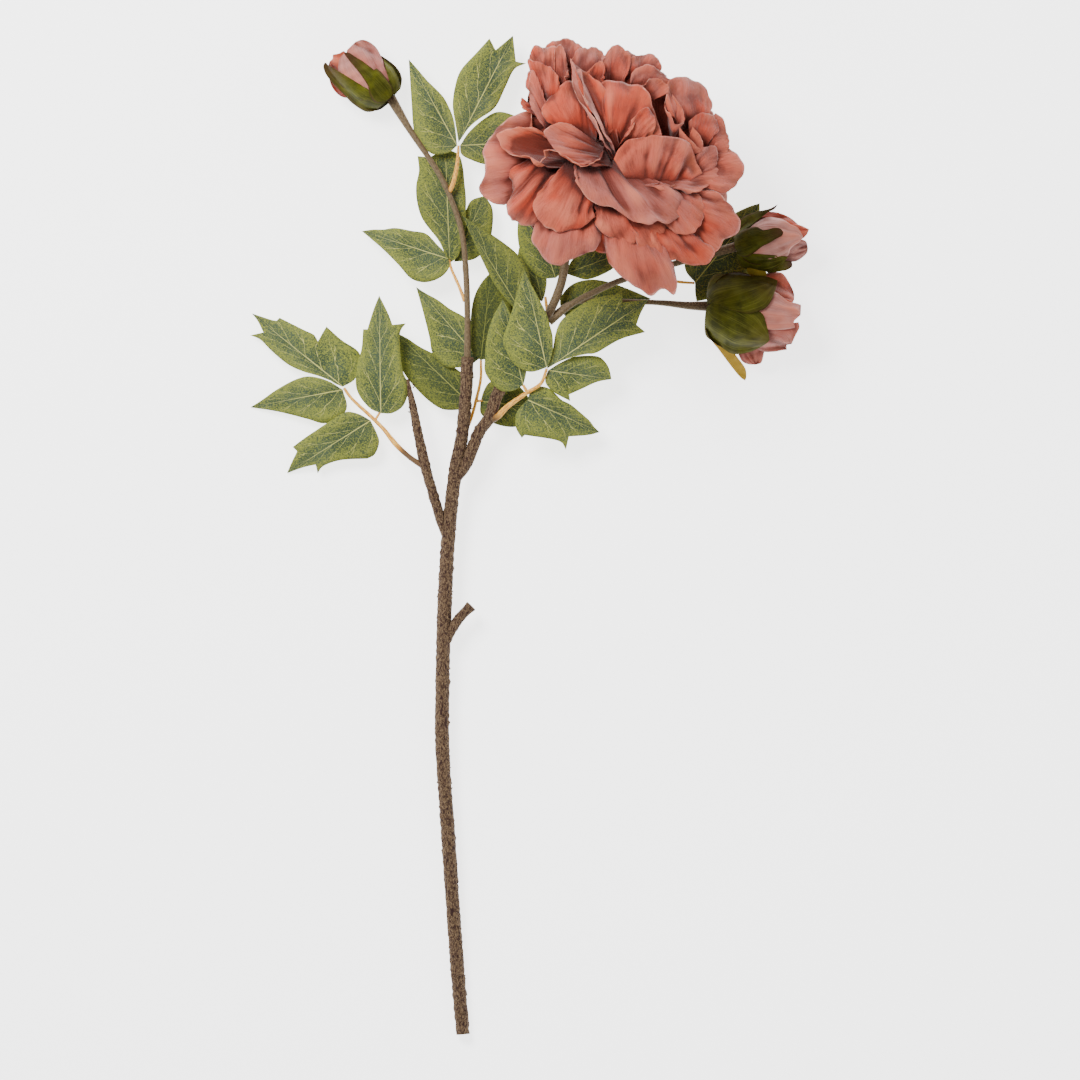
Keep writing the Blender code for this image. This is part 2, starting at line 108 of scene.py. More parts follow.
def spread(line, count):
    """Samples evenly spread over a line's length, the lengths at which they lie and those of the line's own points."""
    steps = np.r_[0, np.cumsum(np.linalg.norm(np.diff(line, axis=0), axis=1))]
    wanted = np.linspace(0, steps[-1], count)
    return np.stack([np.interp(wanted, steps, values) for values in line.T], axis=1), wanted, steps


SPAN_SAMPLES = 12


def smooth_path(points, count):
    """Catmull-Rom path through the points, `count` samples evenly spread over its length."""
    pts = np.asarray(points, float)
    if len(pts) == 2:
        t = np.linspace(0, 1, count)[:, None]
        return pts[0] * (1 - t) + pts[1] * t
    full = np.vstack([2 * pts[0] - pts[1], pts, 2 * pts[-1] - pts[-2]])
    dense = []
    for i in range(1, len(full) - 2):
        a, b, c, d = full[i - 1 : i + 3]
        for t in np.linspace(0, 1, SPAN_SAMPLES, endpoint=False):
            square, cube = 2 * a - 5 * b + 4 * c - d, 3 * b - a - 3 * c + d
            dense.append(0.5 * (2 * b + (c - a) * t + square * t * t + cube * t**3))
    dense.append(full[-2])
    return spread(np.array(dense), count)[0]


def unit(vector):
    vector = np.asarray(vector, float)
    return vector / np.linalg.norm(vector)


def grid_normals(points):
    normals = np.cross(np.gradient(points, axis=1), np.gradient(points, axis=0))
    return normals / (np.linalg.norm(normals, axis=2, keepdims=True) + 1e-9)


def grid(low, high, cols, rows):
    """Shares across (low to high) and along (0 to 1) a patch."""
    return np.meshgrid(np.linspace(low, high, cols), np.linspace(0, 1, rows))


def waves(rng, u, v, count, low, high):
    """Sum of a few random ripples over a grid, about -1 to 1."""
    total = np.zeros_like(u)
    for _ in range(count):
        fu, fv = rng.uniform(low, high), rng.uniform(low, high) * rng.choice((-1, 1))
        total += np.sin(2 * np.pi * (fu * u + fv * v) + rng.uniform(0, 6.28))
    return total / math.sqrt(count)


# ---------------------------------------------------------------- materials
class Value:
    """Output of a shader node, which takes plain arithmetic with other outputs and with numbers."""

    def __init__(self, shader, socket):
        self.shader, self.socket = shader, socket

    def math(self, operation, *terms):
        return self.shader.node("Math", 0, dict(enumerate(terms)), operation=operation)

    def __add__(self, other):
        return self.math("ADD", self, other)

    def __sub__(self, other):
        return self.math("SUBTRACT", self, other)

    def __rsub__(self, other):
        return self.math("SUBTRACT", other, self)

    def __mul__(self, other):
        return self.math("MULTIPLY", self, other)

    def __pow__(self, exponent):
        return self.math("POWER", self, exponent)

    def __gt__(self, limit):
        return self.math("GREATER_THAN", self, limit)

    def __abs__(self):
        return self.math("ABSOLUTE", self)

    __radd__ = __add__

    def fraction(self):
        return self.math("FRACT", self)

    def at_least(self, other):
        return self.math("MAXIMUM", self, other)

    def clamped(self):
        """Hold this value between 0 and 1."""
        self.socket.node.use_clamp = True
        return self

    def ramp(self, low, high):
        """0 below low, 1 above high, smooth between."""
        sockets = {"Value": self, "From Min": low, "From Max": high}
        return self.shader.node("MapRange", "Result", sockets, interpolation_type="SMOOTHSTEP")


class Shader:
    """A material and short ways to its nodes."""

    def __init__(self, name):
        self.material = bpy.data.materials.new(name)
        self.material.use_nodes = True
        self.tree = self.material.node_tree
        self.main = self.tree.nodes["Principled BSDF"].inputs

    def feed(self, socket, value):
        """Link a value to a socket, or set a number, vector or colour on it."""
        if isinstance(value, Value):
            self.tree.links.new(value.socket, socket)
        elif socket.type == "RGBA":
            socket.default_value = (*value, 1.0)
        else:
            socket.default_value = value

    def node(self, kind, output, sockets, **settings):
        node = self.tree.nodes.new("ShaderNode" + kind)
        for name, value in settings.items():
            setattr(node, name, value)
        for key, value in sockets.items():
            self.feed(node.inputs[key], value)
        return Value(self, node.outputs[output])

    def mix(self, factor, a, b):
        return self.node("Mix", 2, {"Factor": factor, 6: a, 7: b}, data_type="RGBA")

    def uv(self):
        """Position across and along the piece, each 0 to 1."""
        uv = self.node("UVMap", 0, {}, uv_map="UVMap")
        across = self.node("SeparateXYZ", 0, {0: uv})
        return across, Value(self, across.socket.node.outputs[1])

    def point(self, x, y, z=0.0):
        return self.node("CombineXYZ", 0, {0: x, 1: y, 2: z})

    def place(self):
        return self.node("TexCoord", "Object", {})

    def noise(self, vector, scale, detail=3.0, rough=0.55):
        sockets = {"Vector": vector, "Scale": scale, "Detail": detail, "Roughness": rough}
        return self.node("TexNoise", "Fac", sockets)

    def tone(self, name="tone"):
        return self.node("Attribute", "Fac", {}, attribute_name=name)

    def bump(self, height, strength, distance):
        sockets = {"Height": height, "Strength": strength, "Distance": distance}
        self.feed(self.main["Normal"], self.node("Bump", 0, sockets))

    def finish(self, color, rough, sheen=0.0, shine=0.22):
        self.feed(self.main["Base Color"], color)
        self.feed(self.main["Roughness"], rough)
        self.feed(self.main["Sheen Weight"], sheen)
        self.feed(self.main["Specular IOR Level"], shine)
        return self.material


def leaf_material():
    """Printed fabric leaf: grey-green ground under a fine yellow-green fleck, thin pale forked veins."""
    s = Shader("leaf_print")
    across, along = s.uv()
    tone, where = s.tone(), s.place()
    side = abs(across - 0.5) * 2.0
    left = across > 0.5
    # side veins sweep forward from the midrib and fork half way out
    wobble = (s.noise(where, 130.0) - 0.5) * 0.42
    rows = along * 6.4 + left * 0.4 - side**0.8 * 1.7 + wobble
    saw = abs(rows.fraction() - 0.5)
    fork = (side - 0.42).at_least(0.0) * 0.42
    width = 0.040 - side * 0.024
    side_vein = (1.0 - abs(saw - fork).ramp(width * 0.2, width)) * (1.0 - side.ramp(0.62, 0.95))
    mid_width = 0.034 - along * 0.020
    mid_vein = 1.0 - side.ramp(mid_width * 0.3, mid_width)
    break_up = s.noise(where, 300.0).ramp(0.36, 0.58)
    vein = mid_vein.at_least(side_vein * (0.2 + break_up * 0.8)).clamped()
    # fine net of printed fleck, drawn out a little along the side veins
    fine = s.noise(s.point(side * 15.0, rows * 11.0, left * 7.0), 2.6, 3.0, 0.7)
    grain = s.noise(where, 980.0, 3.0, 0.80)
    edge = (side + s.noise(where, 60.0) * 0.7).ramp(0.35, 1.5)
    threshold = 0.545 - edge * 0.085
    fleck = (fine * 0.45 + grain * 0.55).ramp(threshold - 0.03, threshold + 0.04)
    base = s.mix(s.noise(where, 55.0).ramp(0.35, 0.65), (0.034, 0.056, 0.032), (0.060, 0.088, 0.050))
    color = s.mix(fleck * 0.90, base, (0.265, 0.285, 0.046))
    color = s.mix(vein * 0.85, color, (0.640, 0.610, 0.180))
    # darker olive version by tone: partly the colour of the leaf's back, partly painted shade
    dark = s.mix(fleck, (0.032, 0.045, 0.014), (0.130, 0.140, 0.022))
    dark = s.mix(vein * 0.65, dark, (0.300, 0.310, 0.065))
    s.bump(vein * 0.6 + grain * 0.5, 0.35, 0.0006)
    return s.finish(s.mix(tone, color, dark), 0.60 + grain * 0.3, 0.0, 0.15)


def petal_material():
    """Dyed fabric petal, by tone dusty pink (-1), mauve (0), salmon (0.5) to red-orange (1).

    Painted shade darkens its root and folds and a painted highlight lightens its raised, open parts; it is paler
    towards its rim.
    """
    s = Shader("petal_fabric")
    across, along = s.uv()
    tone, shade, where = s.tone(), s.tone("shade"), s.place()
    mixed = tone + (s.noise(where, 60.0, 3.0) - 0.5) * 0.9
    color = s.mix(mixed.ramp(-1.0, 0.0), (0.520, 0.240, 0.205), (0.340, 0.088, 0.065))
    color = s.mix(mixed.ramp(0.0, 0.5), color, (0.435, 0.082, 0.046))
    color = s.mix(mixed.ramp(0.5, 1.0), color, (0.420, 0.043, 0.014))
    ribs = s.noise(s.point(across * 34.0, along * 2.4, tone * 9.0), 1.0, 4.0, 0.65)
    color = s.mix(ribs.ramp(0.46, 0.70) * 0.30, color, (0.220, 0.034, 0.018))
    vein = s.noise(s.point(across * 78.0, along * 3.2, tone * 5.0), 1.0, 2.0, 0.5)
    color = s.mix(vein.ramp(0.56, 0.68) * 0.42, color, (0.190, 0.026, 0.015))
    # painted shade at the root, where the petals tuck under one another
    root = 1.0 - along.ramp(0.02, 0.66)
    color = s.mix(root * 0.80, color, (0.140, 0.014, 0.007))
    # painted shade in creases and under other petals where the shade value is low; painted highlight where it is high
    color = s.mix((1.0 - shade.ramp(0.0, 0.5)) * 0.84, color, (0.095, 0.010, 0.004))
    color = s.mix(shade.ramp(0.5, 1.0) * 0.50, color, (0.680, 0.190, 0.105))
    rim = along.ramp(0.70, 1.0) * s.noise(where, 90.0).ramp(0.35, 0.65)
    color = s.mix(rim * 0.30, color, (0.580, 0.145, 0.066))
    # thin pale line on the edge: partly the fabric's pale cut edge, partly painted highlight
    edge = along.ramp(0.975, 0.998) * s.noise(where, 100.0).ramp(0.50, 0.66)
    color = s.mix(edge * 0.55, color, (0.760, 0.380, 0.280))
    s.bump(ribs + vein * 0.35 + s.noise(where, 2600.0, 1.0) * 0.12, 0.6, 0.0014)
    return s.finish(color, 0.58 + ribs * 0.25, 0.15)


def bark_material():
    """Moulded bark: brown grain with pale flecks and dark gaps."""
    s = Shader("moulded_bark")
    where = s.place()
    stretched = s.node("Mapping", 0, {"Vector": where, "Scale": (1.0, 0.45, 1.0)})
    coarse = s.noise(stretched, 1000.0, 3.0, 0.7)
    fine = s.noise(where, 1400.0, 3.0, 0.6)
    gap = s.node("TexVoronoi", "Distance", {"Vector": stretched, "Scale": 800.0})
    color = s.mix(coarse.ramp(0.42, 0.58), (0.038, 0.016, 0.011), (0.150, 0.094, 0.050))
    color = s.mix(fine.ramp(0.52, 0.66) * 0.75, color, (0.270, 0.190, 0.110))
    color = s.mix(gap.ramp(0.60, 0.85), color, (0.030, 0.012, 0.010))
    s.bump(coarse * 0.7 + gap * 0.6, 0.9, 0.0012)
    return s.finish(color, 0.72 + fine * 0.25)


def stem_material():
    """Smooth brown coating of the bud stems, streaked along them."""
    s = Shader("coated_stem")
    across, along = s.uv()
    streak = s.noise(s.point(across * 5.0, along * 30.0), 3.0)
    s.bump(streak, 0.25, 0.0006)
    color = s.mix(streak.ramp(0.35, 0.65), (0.088, 0.058, 0.028), (0.165, 0.115, 0.060))
    return s.finish(color, 0.5 + streak * 0.15)


def stalk_material():
    """Cream-orange painted stalk with faint streaks, brown at its foot by tone."""
    s = Shader("stalk_paint")
    across, along = s.uv()
    streak = s.noise(s.point(across * 5.0, along * 7.0), 2.0)
    color = s.mix(streak.ramp(0.35, 0.65), (0.560, 0.200, 0.018), (0.950, 0.540, 0.100))
    foot = s.tone() - along + (streak - 0.5) * 0.2
    color = s.mix(foot.ramp(-0.06, 0.06), color, (0.130, 0.070, 0.030))
    s.bump(streak, 0.3, 0.0006)
    return s.finish(color, 0.45 + streak * 0.2)


def sepal_material():
    """Olive sepal with fine ribs, brown towards its tip and sides by tone; yellow-olive where tone is negative."""
    s = Shader("sepal_fabric")
    across, along = s.uv()
    tone, where = s.tone(), s.place()
    cloud = s.noise(where, 90.0, 3.0)
    color = s.mix(cloud.ramp(0.35, 0.65), (0.036, 0.038, 0.002), (0.080, 0.082, 0.004))
    ribs = s.noise(s.point(across * 60.0, along * 2.0, tone), 1.0, 2.0)
    color = s.mix(ribs.ramp(0.50, 0.66) * 0.50, color, (0.150, 0.150, 0.022))
    side = abs(across - 0.5) * 2.0
    brown = along.ramp(0.50, 1.0).at_least(side.ramp(0.72, 1.1)) * tone.at_least(0.0)
    color = s.mix((brown * (0.5 + cloud)).clamped(), color, (0.050, 0.018, 0.008))
    color = s.mix((tone * -1.0).clamped(), color, (0.400, 0.250, 0.030))
    grain = s.noise(where, 1800.0, 2.0)
    s.bump(ribs * 0.5 + grain * 0.3, 0.3, 0.0007)
    return s.finish(color, 0.55 + grain * 0.3, 0.0, 0.10)


LEAF_THICKNESS, PETAL_THICKNESS, SEPAL_THICKNESS = 0.35, 0.3, 0.4
LEAF, PETAL, BARK = leaf_material(), petal_material(), bark_material()
STEM, STALK, SEPAL = stem_material(), stalk_material(), sepal_material()


# ---------------------------------------------------------------- stems
RING_WIDTH = 1.4
GRAIN_WAVES = 26
LUMP_SHARE = 0.015


def tube(path, radii, count, sides, rng=None, rough=0.0, rings=(), tone=0.0):
    """Round stem along a path; `rough` roughens its skin and `rings` are (share of length, swelling in mm)."""
    line = smooth_path(path, count)
    share = np.linspace(0, 1, count)
    radius = np.interp(share, np.linspace(0, 1, len(radii)), radii)
    length = np.linalg.norm(np.diff(line, axis=0), axis=1).sum()
    for at, swelling in rings:
        radius = radius + swelling * np.exp(-(((share - at) * length / RING_WIDTH) ** 2))
    tangent = np.gradient(line, axis=0)
    tangent /= np.linalg.norm(tangent, axis=1, keepdims=True)
    up = np.array((0.0, 0.0, 1.0)) if abs(tangent[0][2]) < 0.9 else np.array((1.0, 0.0, 0.0))
    points = np.empty((count, sides, 3))
    angle = np.linspace(0, FULL_TURN, sides, endpoint=False)
    grain = np.zeros((count, sides))
    if rough:
        for _ in range(GRAIN_WAVES):
            turns = rng.integers(1, 7)
            wave = angle[None, :] * turns + share[:, None] * length * rng.uniform(0.15, 1.6)
            grain += np.sin(wave + rng.uniform(0, 6.28)) * rng.uniform(0.4, 1)
        grain *= rough / 4.5
        lumps = rng.uniform(0, 1, (count, sides))
        grain += np.where(lumps > 1 - LUMP_SHARE, rough * 2.2, 0.0)
    for i in range(count):
        side = unit(np.cross(up, tangent[i]))
        up = np.cross(tangent[i], side)
        ring = (radius[i] + grain[i])[:, None]
        points[i] = line[i] + ring * (np.cos(angle)[:, None] * side + np.sin(angle)[:, None] * up)
    uv = np.stack(np.broadcast_arrays(np.linspace(0, 1, sides)[None, :], share[:, None]), axis=2)
    return points, uv, tone, True


rng = np.random.default_rng(11)
TRUNK_PATH = (
    (0, 0, 4.9), (-3, 34, 6), (-7, 88, 8), (-10, 134, 10), (-14, 194, 12), (-14, 235, 13),
    (-13, 281, 15), (-10, 339, 17), (-5, 385, 20), (-1, 405, 21), (2, 435, 24), (3, 461, 26),
)
TRUNK_RADII = (4.6, 4.8, 4.7, 4.9, 4.7, 4.9, 4.8, 5.0, 4.8, 4.6, 4.3, 4.1)
LEFT_TWIG = (
    (-9.5, 328, 16), (-12, 341, 17), (-15.7, 352, 18), (-19.9, 366.5, 19),
    (-25.5, 386, 20), (-30.3, 408, 20.3), (-34, 427, 20.6), (-37.6, 446, 21),
)
RIGHT_BRANCH = (
    (-5, 378, 20), (2, 388, 21), (11, 410, 22), (18, 420, 23), (24, 437, 23.5), (36, 459, 23.5), (49, 478, 22.5),
)
STUB = ((-12.5, 264, 14.5), (-9, 274, 15), (-2, 284, 15.6), (5.6, 291.8, 16.5))


def thorns(path, radius, count):
    """Short stiff bristles standing out of the bark."""
    line = smooth_path(path, 200)
    out = []
    for _ in range(count):
        i = int(rng.integers(4, 196))
        along = unit(line[i + 2] - line[i - 2])
        turn = rng.uniform(0, FULL_TURN)
        side = np.array((math.cos(turn), 0.0, math.sin(turn)))
        side = unit(side - along * (side @ along))
        foot = line[i] + side * (radius - 0.4)
        tip = foot + side * rng.uniform(0.9, 1.6) + along * rng.uniform(-0.3, 0.9)
        if tip[2] > 0.6:
            out.append(tube((foot, tip), (rng.uniform(0.45, 0.8), 0.22), 3, 7))
    return out


TRUNK_RINGS = ((0.06, 0.5), (0.29, 0.5), (0.52, 0.5), (0.42, 0.3), (0.80, 0.3), (0.975, 0.5))
make_piece(
    "bark_stem",
    [
        tube(TRUNK_PATH, TRUNK_RADII, 420, 28, rng, 0.32, TRUNK_RINGS),
        tube(LEFT_TWIG, (2.0, 3.4, 3.4, 3.4, 3.6, 3.1, 2.6, 0.9), 110, 20, rng, 0.22, ((0.33, 0.4), (0.51, 0.5))),
        tube(RIGHT_BRANCH, (3.4, 4.2, 4.0, 4.2, 3.8, 3.6, 3.6), 110, 22, rng, 0.26, ((0.42, 0.5),)),
        tube(STUB, (2.6, 4.0, 3.3, 3.5), 34, 18, rng, 0.2, ((0.97, 0.4),)),
        *thorns(TRUNK_PATH, 4.6, 70),
        *thorns(RIGHT_BRANCH, 3.6, 14),
        *thorns(LEFT_TWIG[2:], 3.1, 12),
    ],
    BARK, "trunk",
)

# Smooth stems: path, radii, rings
STEMS = {
    "left_bud_stem": (
        ((3, 460, 26.2), (3, 491, 28), (2, 519, 28), (-1, 547, 27), (-10, 573, 25), (-19, 590, 23), (-35, 614, 20),
            (-43, 627, 18), (-49.5, 638, 17.6)),
        (2.4, 2.0, 2.1, 1.9, 1.9, 1.8, 1.9, 2.3, 3.6),
        ((0.32, 0.35), (0.63, 0.4)),
    ),
    "bloom_stem": (
        ((49.6, 478, 22.4), (59, 492, 21), (67, 512, 17), (70, 532, 14), (71, 546, 16), (72.8, 555, 23.5),
            (73.6, 559, 30)),
        (3.2, 3.0, 3.0, 3.0, 3.0, 3.3, 4.2),
        (),
    ),
    "upper_bud_stem": (
        ((59, 484.5, 25.6), (74, 497, 27.5), (89, 505, 27), (107, 513, 26), (142, 524, 25), (168, 531, 26),
            (178, 534, 27), (189, 537, 28)),
        (2.2, 2.1, 2.1, 2.1, 2.1, 2.2, 2.7, 3.5),
        ((0.5, 0.3),),
    ),
    "lower_bud_stem": (
        ((60, 488.5, 15.8), (72, 497, 17), (89, 500, 18), (108, 499, 19), (134, 498, 23), (154, 496, 27),
            (168.5, 495.6, 28.8)),
        (1.8, 1.7, 1.7, 1.7, 1.8, 2.5, 3.6),
        (),
    ),
}
for name, (path, radii, rings) in STEMS.items():
    make_piece(f"{name}_coated", [tube(path, radii, 90, 16, rng, 0.03, rings)], STEM, name)

# Leaf stalks: path and radii of each limb
STALKS = {
    "stalk_a": (
        (((-27.5, 387, 20.2), (-37, 393.5, 19.2), (-46, 402, 18), (-54, 412, 17), (-63, 421, 15), (-75, 432, 13),
            (-81, 440, 11.6)), (2.0, 1.7, 1.8, 1.3, 1.3, 1.1, 1.0)),
        (((-60, 418, 15.4), (-56.5, 423.5, 16.6)), (0.9, 0.8)),
    ),
    "stalk_b": ((((-9.5, 573.5, 25), (-6.5, 580, 24), (-4, 592, 23), (-3, 605, 23)), (1.8, 1.5, 1.2, 0.8)),),
    "stalk_c": ((((1.2, 499, 27.5), (-3, 510, 25), (-7.5, 520, 22.5), (-9.5, 527, 21)), (1.3, 1.1, 1.0, 0.9)),),
    "stalk_d": ((((44.6, 478, 24), (43, 486, 26), (40, 491.5, 27)), (1.1, 1.1, 1.0)),),
    "stalk_e": (
        (((1, 410, 15), (5, 418, 14), (9, 432, 14), (12, 446, 15.2), (12.2, 459, 16.8)), (1.3, 1.1, 1.1, 1.0, 0.8)),
        (((8.6, 431, 14), (13, 431.5, 13.2)), (0.9, 0.8)),
    ),
    "stalk_f": (
        (((20, 418.5, 24), (24, 421, 26.5), (31, 428, 28), (44, 437, 31), (53, 443, 33), (57, 453, 35.3)),
            (2.4, 2.0, 1.6, 1.4, 1.2, 0.9)),
        (((44, 436.5, 31), (41, 442, 31)), (1.2, 0.9)),
    ),
    "stalk_g": ((((57.5, 491.5, 17.2), (56, 502, 14.5)), (1.2, 0.9)),),
    "stalk_h": ((((136, 520, 23.6), (140, 515, 19), (146, 512.5, 14), (157.5, 511.5, 10.6)), (1.3, 1.1, 1.0, 0.8)),),
}
# share of the first limb that is brown
BROWN_FEET = {"stalk_a": 0.26, "stalk_f": 0.10}
NO_BROWN = -1.0
for name, limbs in STALKS.items():
    feet = (BROWN_FEET.get(name, NO_BROWN), NO_BROWN)
    patches = [tube(path, radii, 40, 12, rng, 0.05, tone=foot) for (path, radii), foot in zip(limbs, feet)]
    make_piece(f"{name}_painted", patches, STALK, name)


# ---------------------------------------------------------------- leaflets
# Plan outline of each leaflet: base, tip, left edge and right edge from base to tip; S marks a sharp point.
# Then height at base and tip, arch along it, fall towards its edges, and how dark and olive it is (0 to 1), partly the
# colour of a leaflet's back and partly painted shade.
S = "sharp"
LEAFLETS = {
    "leaf_a1": ((-56, 423), (-57, 503), ((-63, 426), (-70, 434), (-73, 443), (-72, 456), (-69, 467), (-68, 480, S),
        (-65, 480, S), (-61, 493)), ((-48, 423), (-40, 429), (-37, 442), (-41, 452), (-43, 476), (-39, 484, S),
        (-48, 483, S), (-51, 491)), 17, 21, 4, 1.5, 0.0),
    "leaf_a2": ((-82, 441), (-144, 491), ((-87, 443), (-92, 446), (-100, 449), (-108, 451), (-119, 456), (-130, 465),
        (-138, 473), (-145, 476, S), (-136, 478, S), (-140, 486)),
        ((-73, 447), (-70, 463), (-83, 473), (-93, 482, S), (-98, 469, S), (-101, 476), (-107, 479), (-117, 484),
        (-125, 488, S), (-128, 486)), 11.5, 2, 3, 1, 0.05),
    "leaf_a3": ((-82, 439), (-145, 427), ((-79, 427), (-85, 419), (-95, 416), (-106, 419), (-126, 424)),
        ((-92, 445), (-104, 448), (-114, 446), (-127, 439), (-137, 432)), 9.5, 1.4, 3, 1, 0.1),
    "leaf_a4": ((-63, 418), (-120, 382), ((-59, 410), (-57, 403), (-60, 395), (-65, 392, S), (-83, 391), (-95, 387),
        (-99, 382, S), (-100, 388, S), (-109, 386)),
        ((-70, 422), (-78, 424), (-84, 422), (-90, 418), (-96, 414), (-108, 406), (-116, 400, S), (-113, 397, S),
        (-117, 389)), 13, 1.4, 4, 1, 0.15),
    "leaf_b1": ((-4, 605), (-37, 664), ((-10, 600), (-20, 599), (-27, 604), (-32, 611), (-34, 619), (-35, 634),
        (-36, 649)), ((-5, 615), (-7, 625), (-12, 636), (-16, 641), (-20, 645), (-25, 650), (-30, 656)), 22, 14, 3, 1,
        0.0),
    "leaf_b2": ((-3, 607), (34, 680), ((-5, 619), (-7, 633), (-5, 647), (-1, 657), (9, 668), (18, 678, S),
        (21, 669, S)), ((4, 617), (11, 623), (22, 631), (29, 645), (35, 657), (43, 661, S), (36, 662, S)), 23.5, 14,
        4, 1, 0.0),
    "leaf_b3": ((-2, 605), (60, 608), ((4, 614), (14, 623), (24, 628), (36, 625), (49, 618)),
        ((-1, 599), (6, 595), (16, 592), (30, 592), (46, 598)), 21, 12, 3, 1, 0.15),
    "leaf_c1": ((-10, 528), (-69, 547), ((-9, 523), (-13, 517), (-20, 513), (-28, 512), (-36, 515), (-44, 524),
        (-55, 535)), ((-13, 533), (-17, 537), (-25, 545), (-35, 547), (-46, 549), (-54, 548), (-61, 548)), 22.5, 8, 4,
        1, 0.1),
    "leaf_c2": ((-9, 525), (-12, 603), ((-13, 533), (-17, 541), (-27, 554), (-31, 565), (-32, 577), (-30, 588),
        (-31, 598, S), (-23, 597, S)), ((-3, 530), (0, 540), (2, 550), (2, 560), (2, 570), (1, 580), (0, 590),
        (-3, 599)), 19, 12, 3, 1, 0.3),
    "leaf_c3": ((-6, 526), (15, 571), ((-4, 537), (-1, 550), (2, 561), (6, 568)),
        ((8, 528), (17, 537), (20, 549), (20, 562)), 15, 11, 2, 1, 0.45),
    "leaf_d": ((40, 491), (-1, 558), ((33, 496), (27, 503), (21, 511), (14, 525), (8, 538), (3, 549)),
        ((45, 499), (46, 511), (43, 523), (36, 532), (26, 540), (11, 550)), 26, 22, 2, 1, 0.55),
    "leaf_e1": ((11, 460), (-32, 509), ((4, 455), (-4, 454), (-10, 454), (-16, 458), (-21, 464), (-23, 475),
        (-27, 491)), ((12, 468), (10, 477), (5, 484), (0, 489), (-9, 494), (-17, 500), (-26, 505)), 16, 5, 2, 1,
        0.25),
    "leaf_e2": ((12, 459), (19, 519), ((6, 465), (5, 475), (5, 485), (7, 500), (12, 511)),
        ((20, 462), (28, 472), (32, 486), (32, 500), (27, 511)), 18.5, 17, 2, 1, 0.95),
    "leaf_e3": ((15, 457), (40, 498), ((14, 467), (16, 478), (22, 489), (31, 496)),
        ((24, 456), (34, 463), (41, 475), (43, 487)), 11.5, 12, 2, 1, 0.8),
    "leaf_e4": ((4, 430), (-46, 478), ((-1, 426), (-7, 425), (-15, 426), (-24, 432), (-33, 441), (-40, 450),
        (-46, 463)), ((5, 440), (2, 448), (-3, 452), (-11, 458), (-19, 463), (-29, 468), (-38, 474)), 12.5, 5, 2, 1,
        0.75),
    "leaf_e5": ((12, 431), (48, 427), ((14, 438), (18, 444), (26, 447), (35, 444), (43, 436)),
        ((12, 423), (19, 417), (28, 414), (37, 414), (43, 419)), 12.5, 6, 2, 1, 0.55),
    "leaf_f1": ((57, 454), (42, 520), ((48, 451), (41, 452), (34, 457), (30, 464), (27, 472), (31, 485), (35, 498),
        (39, 512)), ((59, 458), (61, 465), (61, 475), (59, 483), (57, 490), (53, 498), (50, 504), (45, 513)), 36.5,
        40, 3, 1, 0.0),
    "leaf_f2": ((41, 442), (27, 500), ((34, 438), (26, 438), (20, 443), (15, 451), (15, 460), (16, 473), (20, 487)),
        ((43, 450), (43, 458), (41, 466), (39, 474), (36, 482), (33, 489), (30, 495)), 31, 33, 2, 1, 0.15),
    "leaf_f3": ((57, 453), (126, 500), ((61, 466), (63, 477), (67, 486), (78, 495), (89, 501), (104, 504),
        (108, 507, S), (107, 498, S)), ((66, 458), (75, 461), (84, 463), (91, 464), (107, 473), (124, 478, S),
        (118, 483, S), (121, 491)), 35, 27, 3, 1, 0.0),
    "leaf_f4": ((58, 452), (101, 446), ((66, 457), (75, 461), (85, 462), (93, 461), (98, 456), (100, 451)),
        ((56, 444), (62, 437), (73, 431, S), (71, 435, S), (80, 439), (91, 444)), 32.5, 24, 2, 1, 0.05),
    "leaf_f5": ((44, 432), (93, 410), ((46, 438), (51, 441), (58, 440), (63, 436), (67, 432), (73, 429), (78, 425),
        (86, 418), (89, 414)), ((40, 428), (36, 422), (36, 413), (40, 406, S), (42, 408, S), (65, 404), (70, 398, S),
        (72, 407, S), (85, 408)), 29.5, 16, 3, 1, 0.05),
    "leaf_g1": ((63, 515), (44, 572), ((53, 515), (45, 522), (39, 533), (37, 547), (39, 561)),
        ((68, 520), (69, 529), (68, 541), (63, 554), (55, 565)), 13, 11, 2, 1, 0.35),
    "leaf_g2": ((54, 499), (43, 546), ((46, 502), (40, 511), (37, 522), (38, 535)),
        ((56, 505), (57, 514), (55, 524), (50, 536)), 12, 8, 2, 1, 0.6),
    "leaf_g3": ((67, 492), (128, 501), ((66, 500), (70, 507), (77, 512), (88, 514), (100, 512), (114, 507)),
        ((72, 487), (80, 485), (92, 485), (104, 488), (114, 492), (122, 497)), 9, 5, 2, 1, 0.5),
    "leaf_g4": ((70, 518), (113, 534), ((74, 527), (82, 534), (92, 539), (103, 540)),
        ((76, 516), (84, 514), (94, 517), (104, 523)), 6.5, 4, 2, 1, 0.35),
    "leaf_h": ((158, 512), (202, 566), ((152, 519), (151, 527), (156, 537), (168, 549), (181, 557), (193, 563)),
        ((158, 505), (159, 499, S), (172, 502), (186, 509), (196, 521), (202, 542)), 10, 4, 2, 1, 0.3),
}


EDGE_SAMPLES = 240
LOWEST_SHEET = 0.8


def edge_points(start, points, end, count):
    """The edge from start to end through the points, smooth except at the sharp ones."""
    run, runs = [start], []
    for x, y, *sharp in (*points, (*end, S)):
        run.append((x, y))
        if sharp:
            runs.append(run)
            run = [(x, y)]
    lengths = [sum(math.dist(a, b) for a, b in zip(run, run[1:])) for run in runs]
    dense, corners = [], []
    for run, length in zip(runs, lengths):
        dense.extend(smooth_path(run, max(3, int(EDGE_SAMPLES * length / sum(lengths))))[:-1])
        corners.append((len(dense), run[-1]))
    dense.append(np.array(end))
    even, wanted, steps = spread(np.array(dense), count)
    for index, corner in corners[:-1]:
        even[np.argmin(abs(wanted - steps[index]))] = corner
    return even


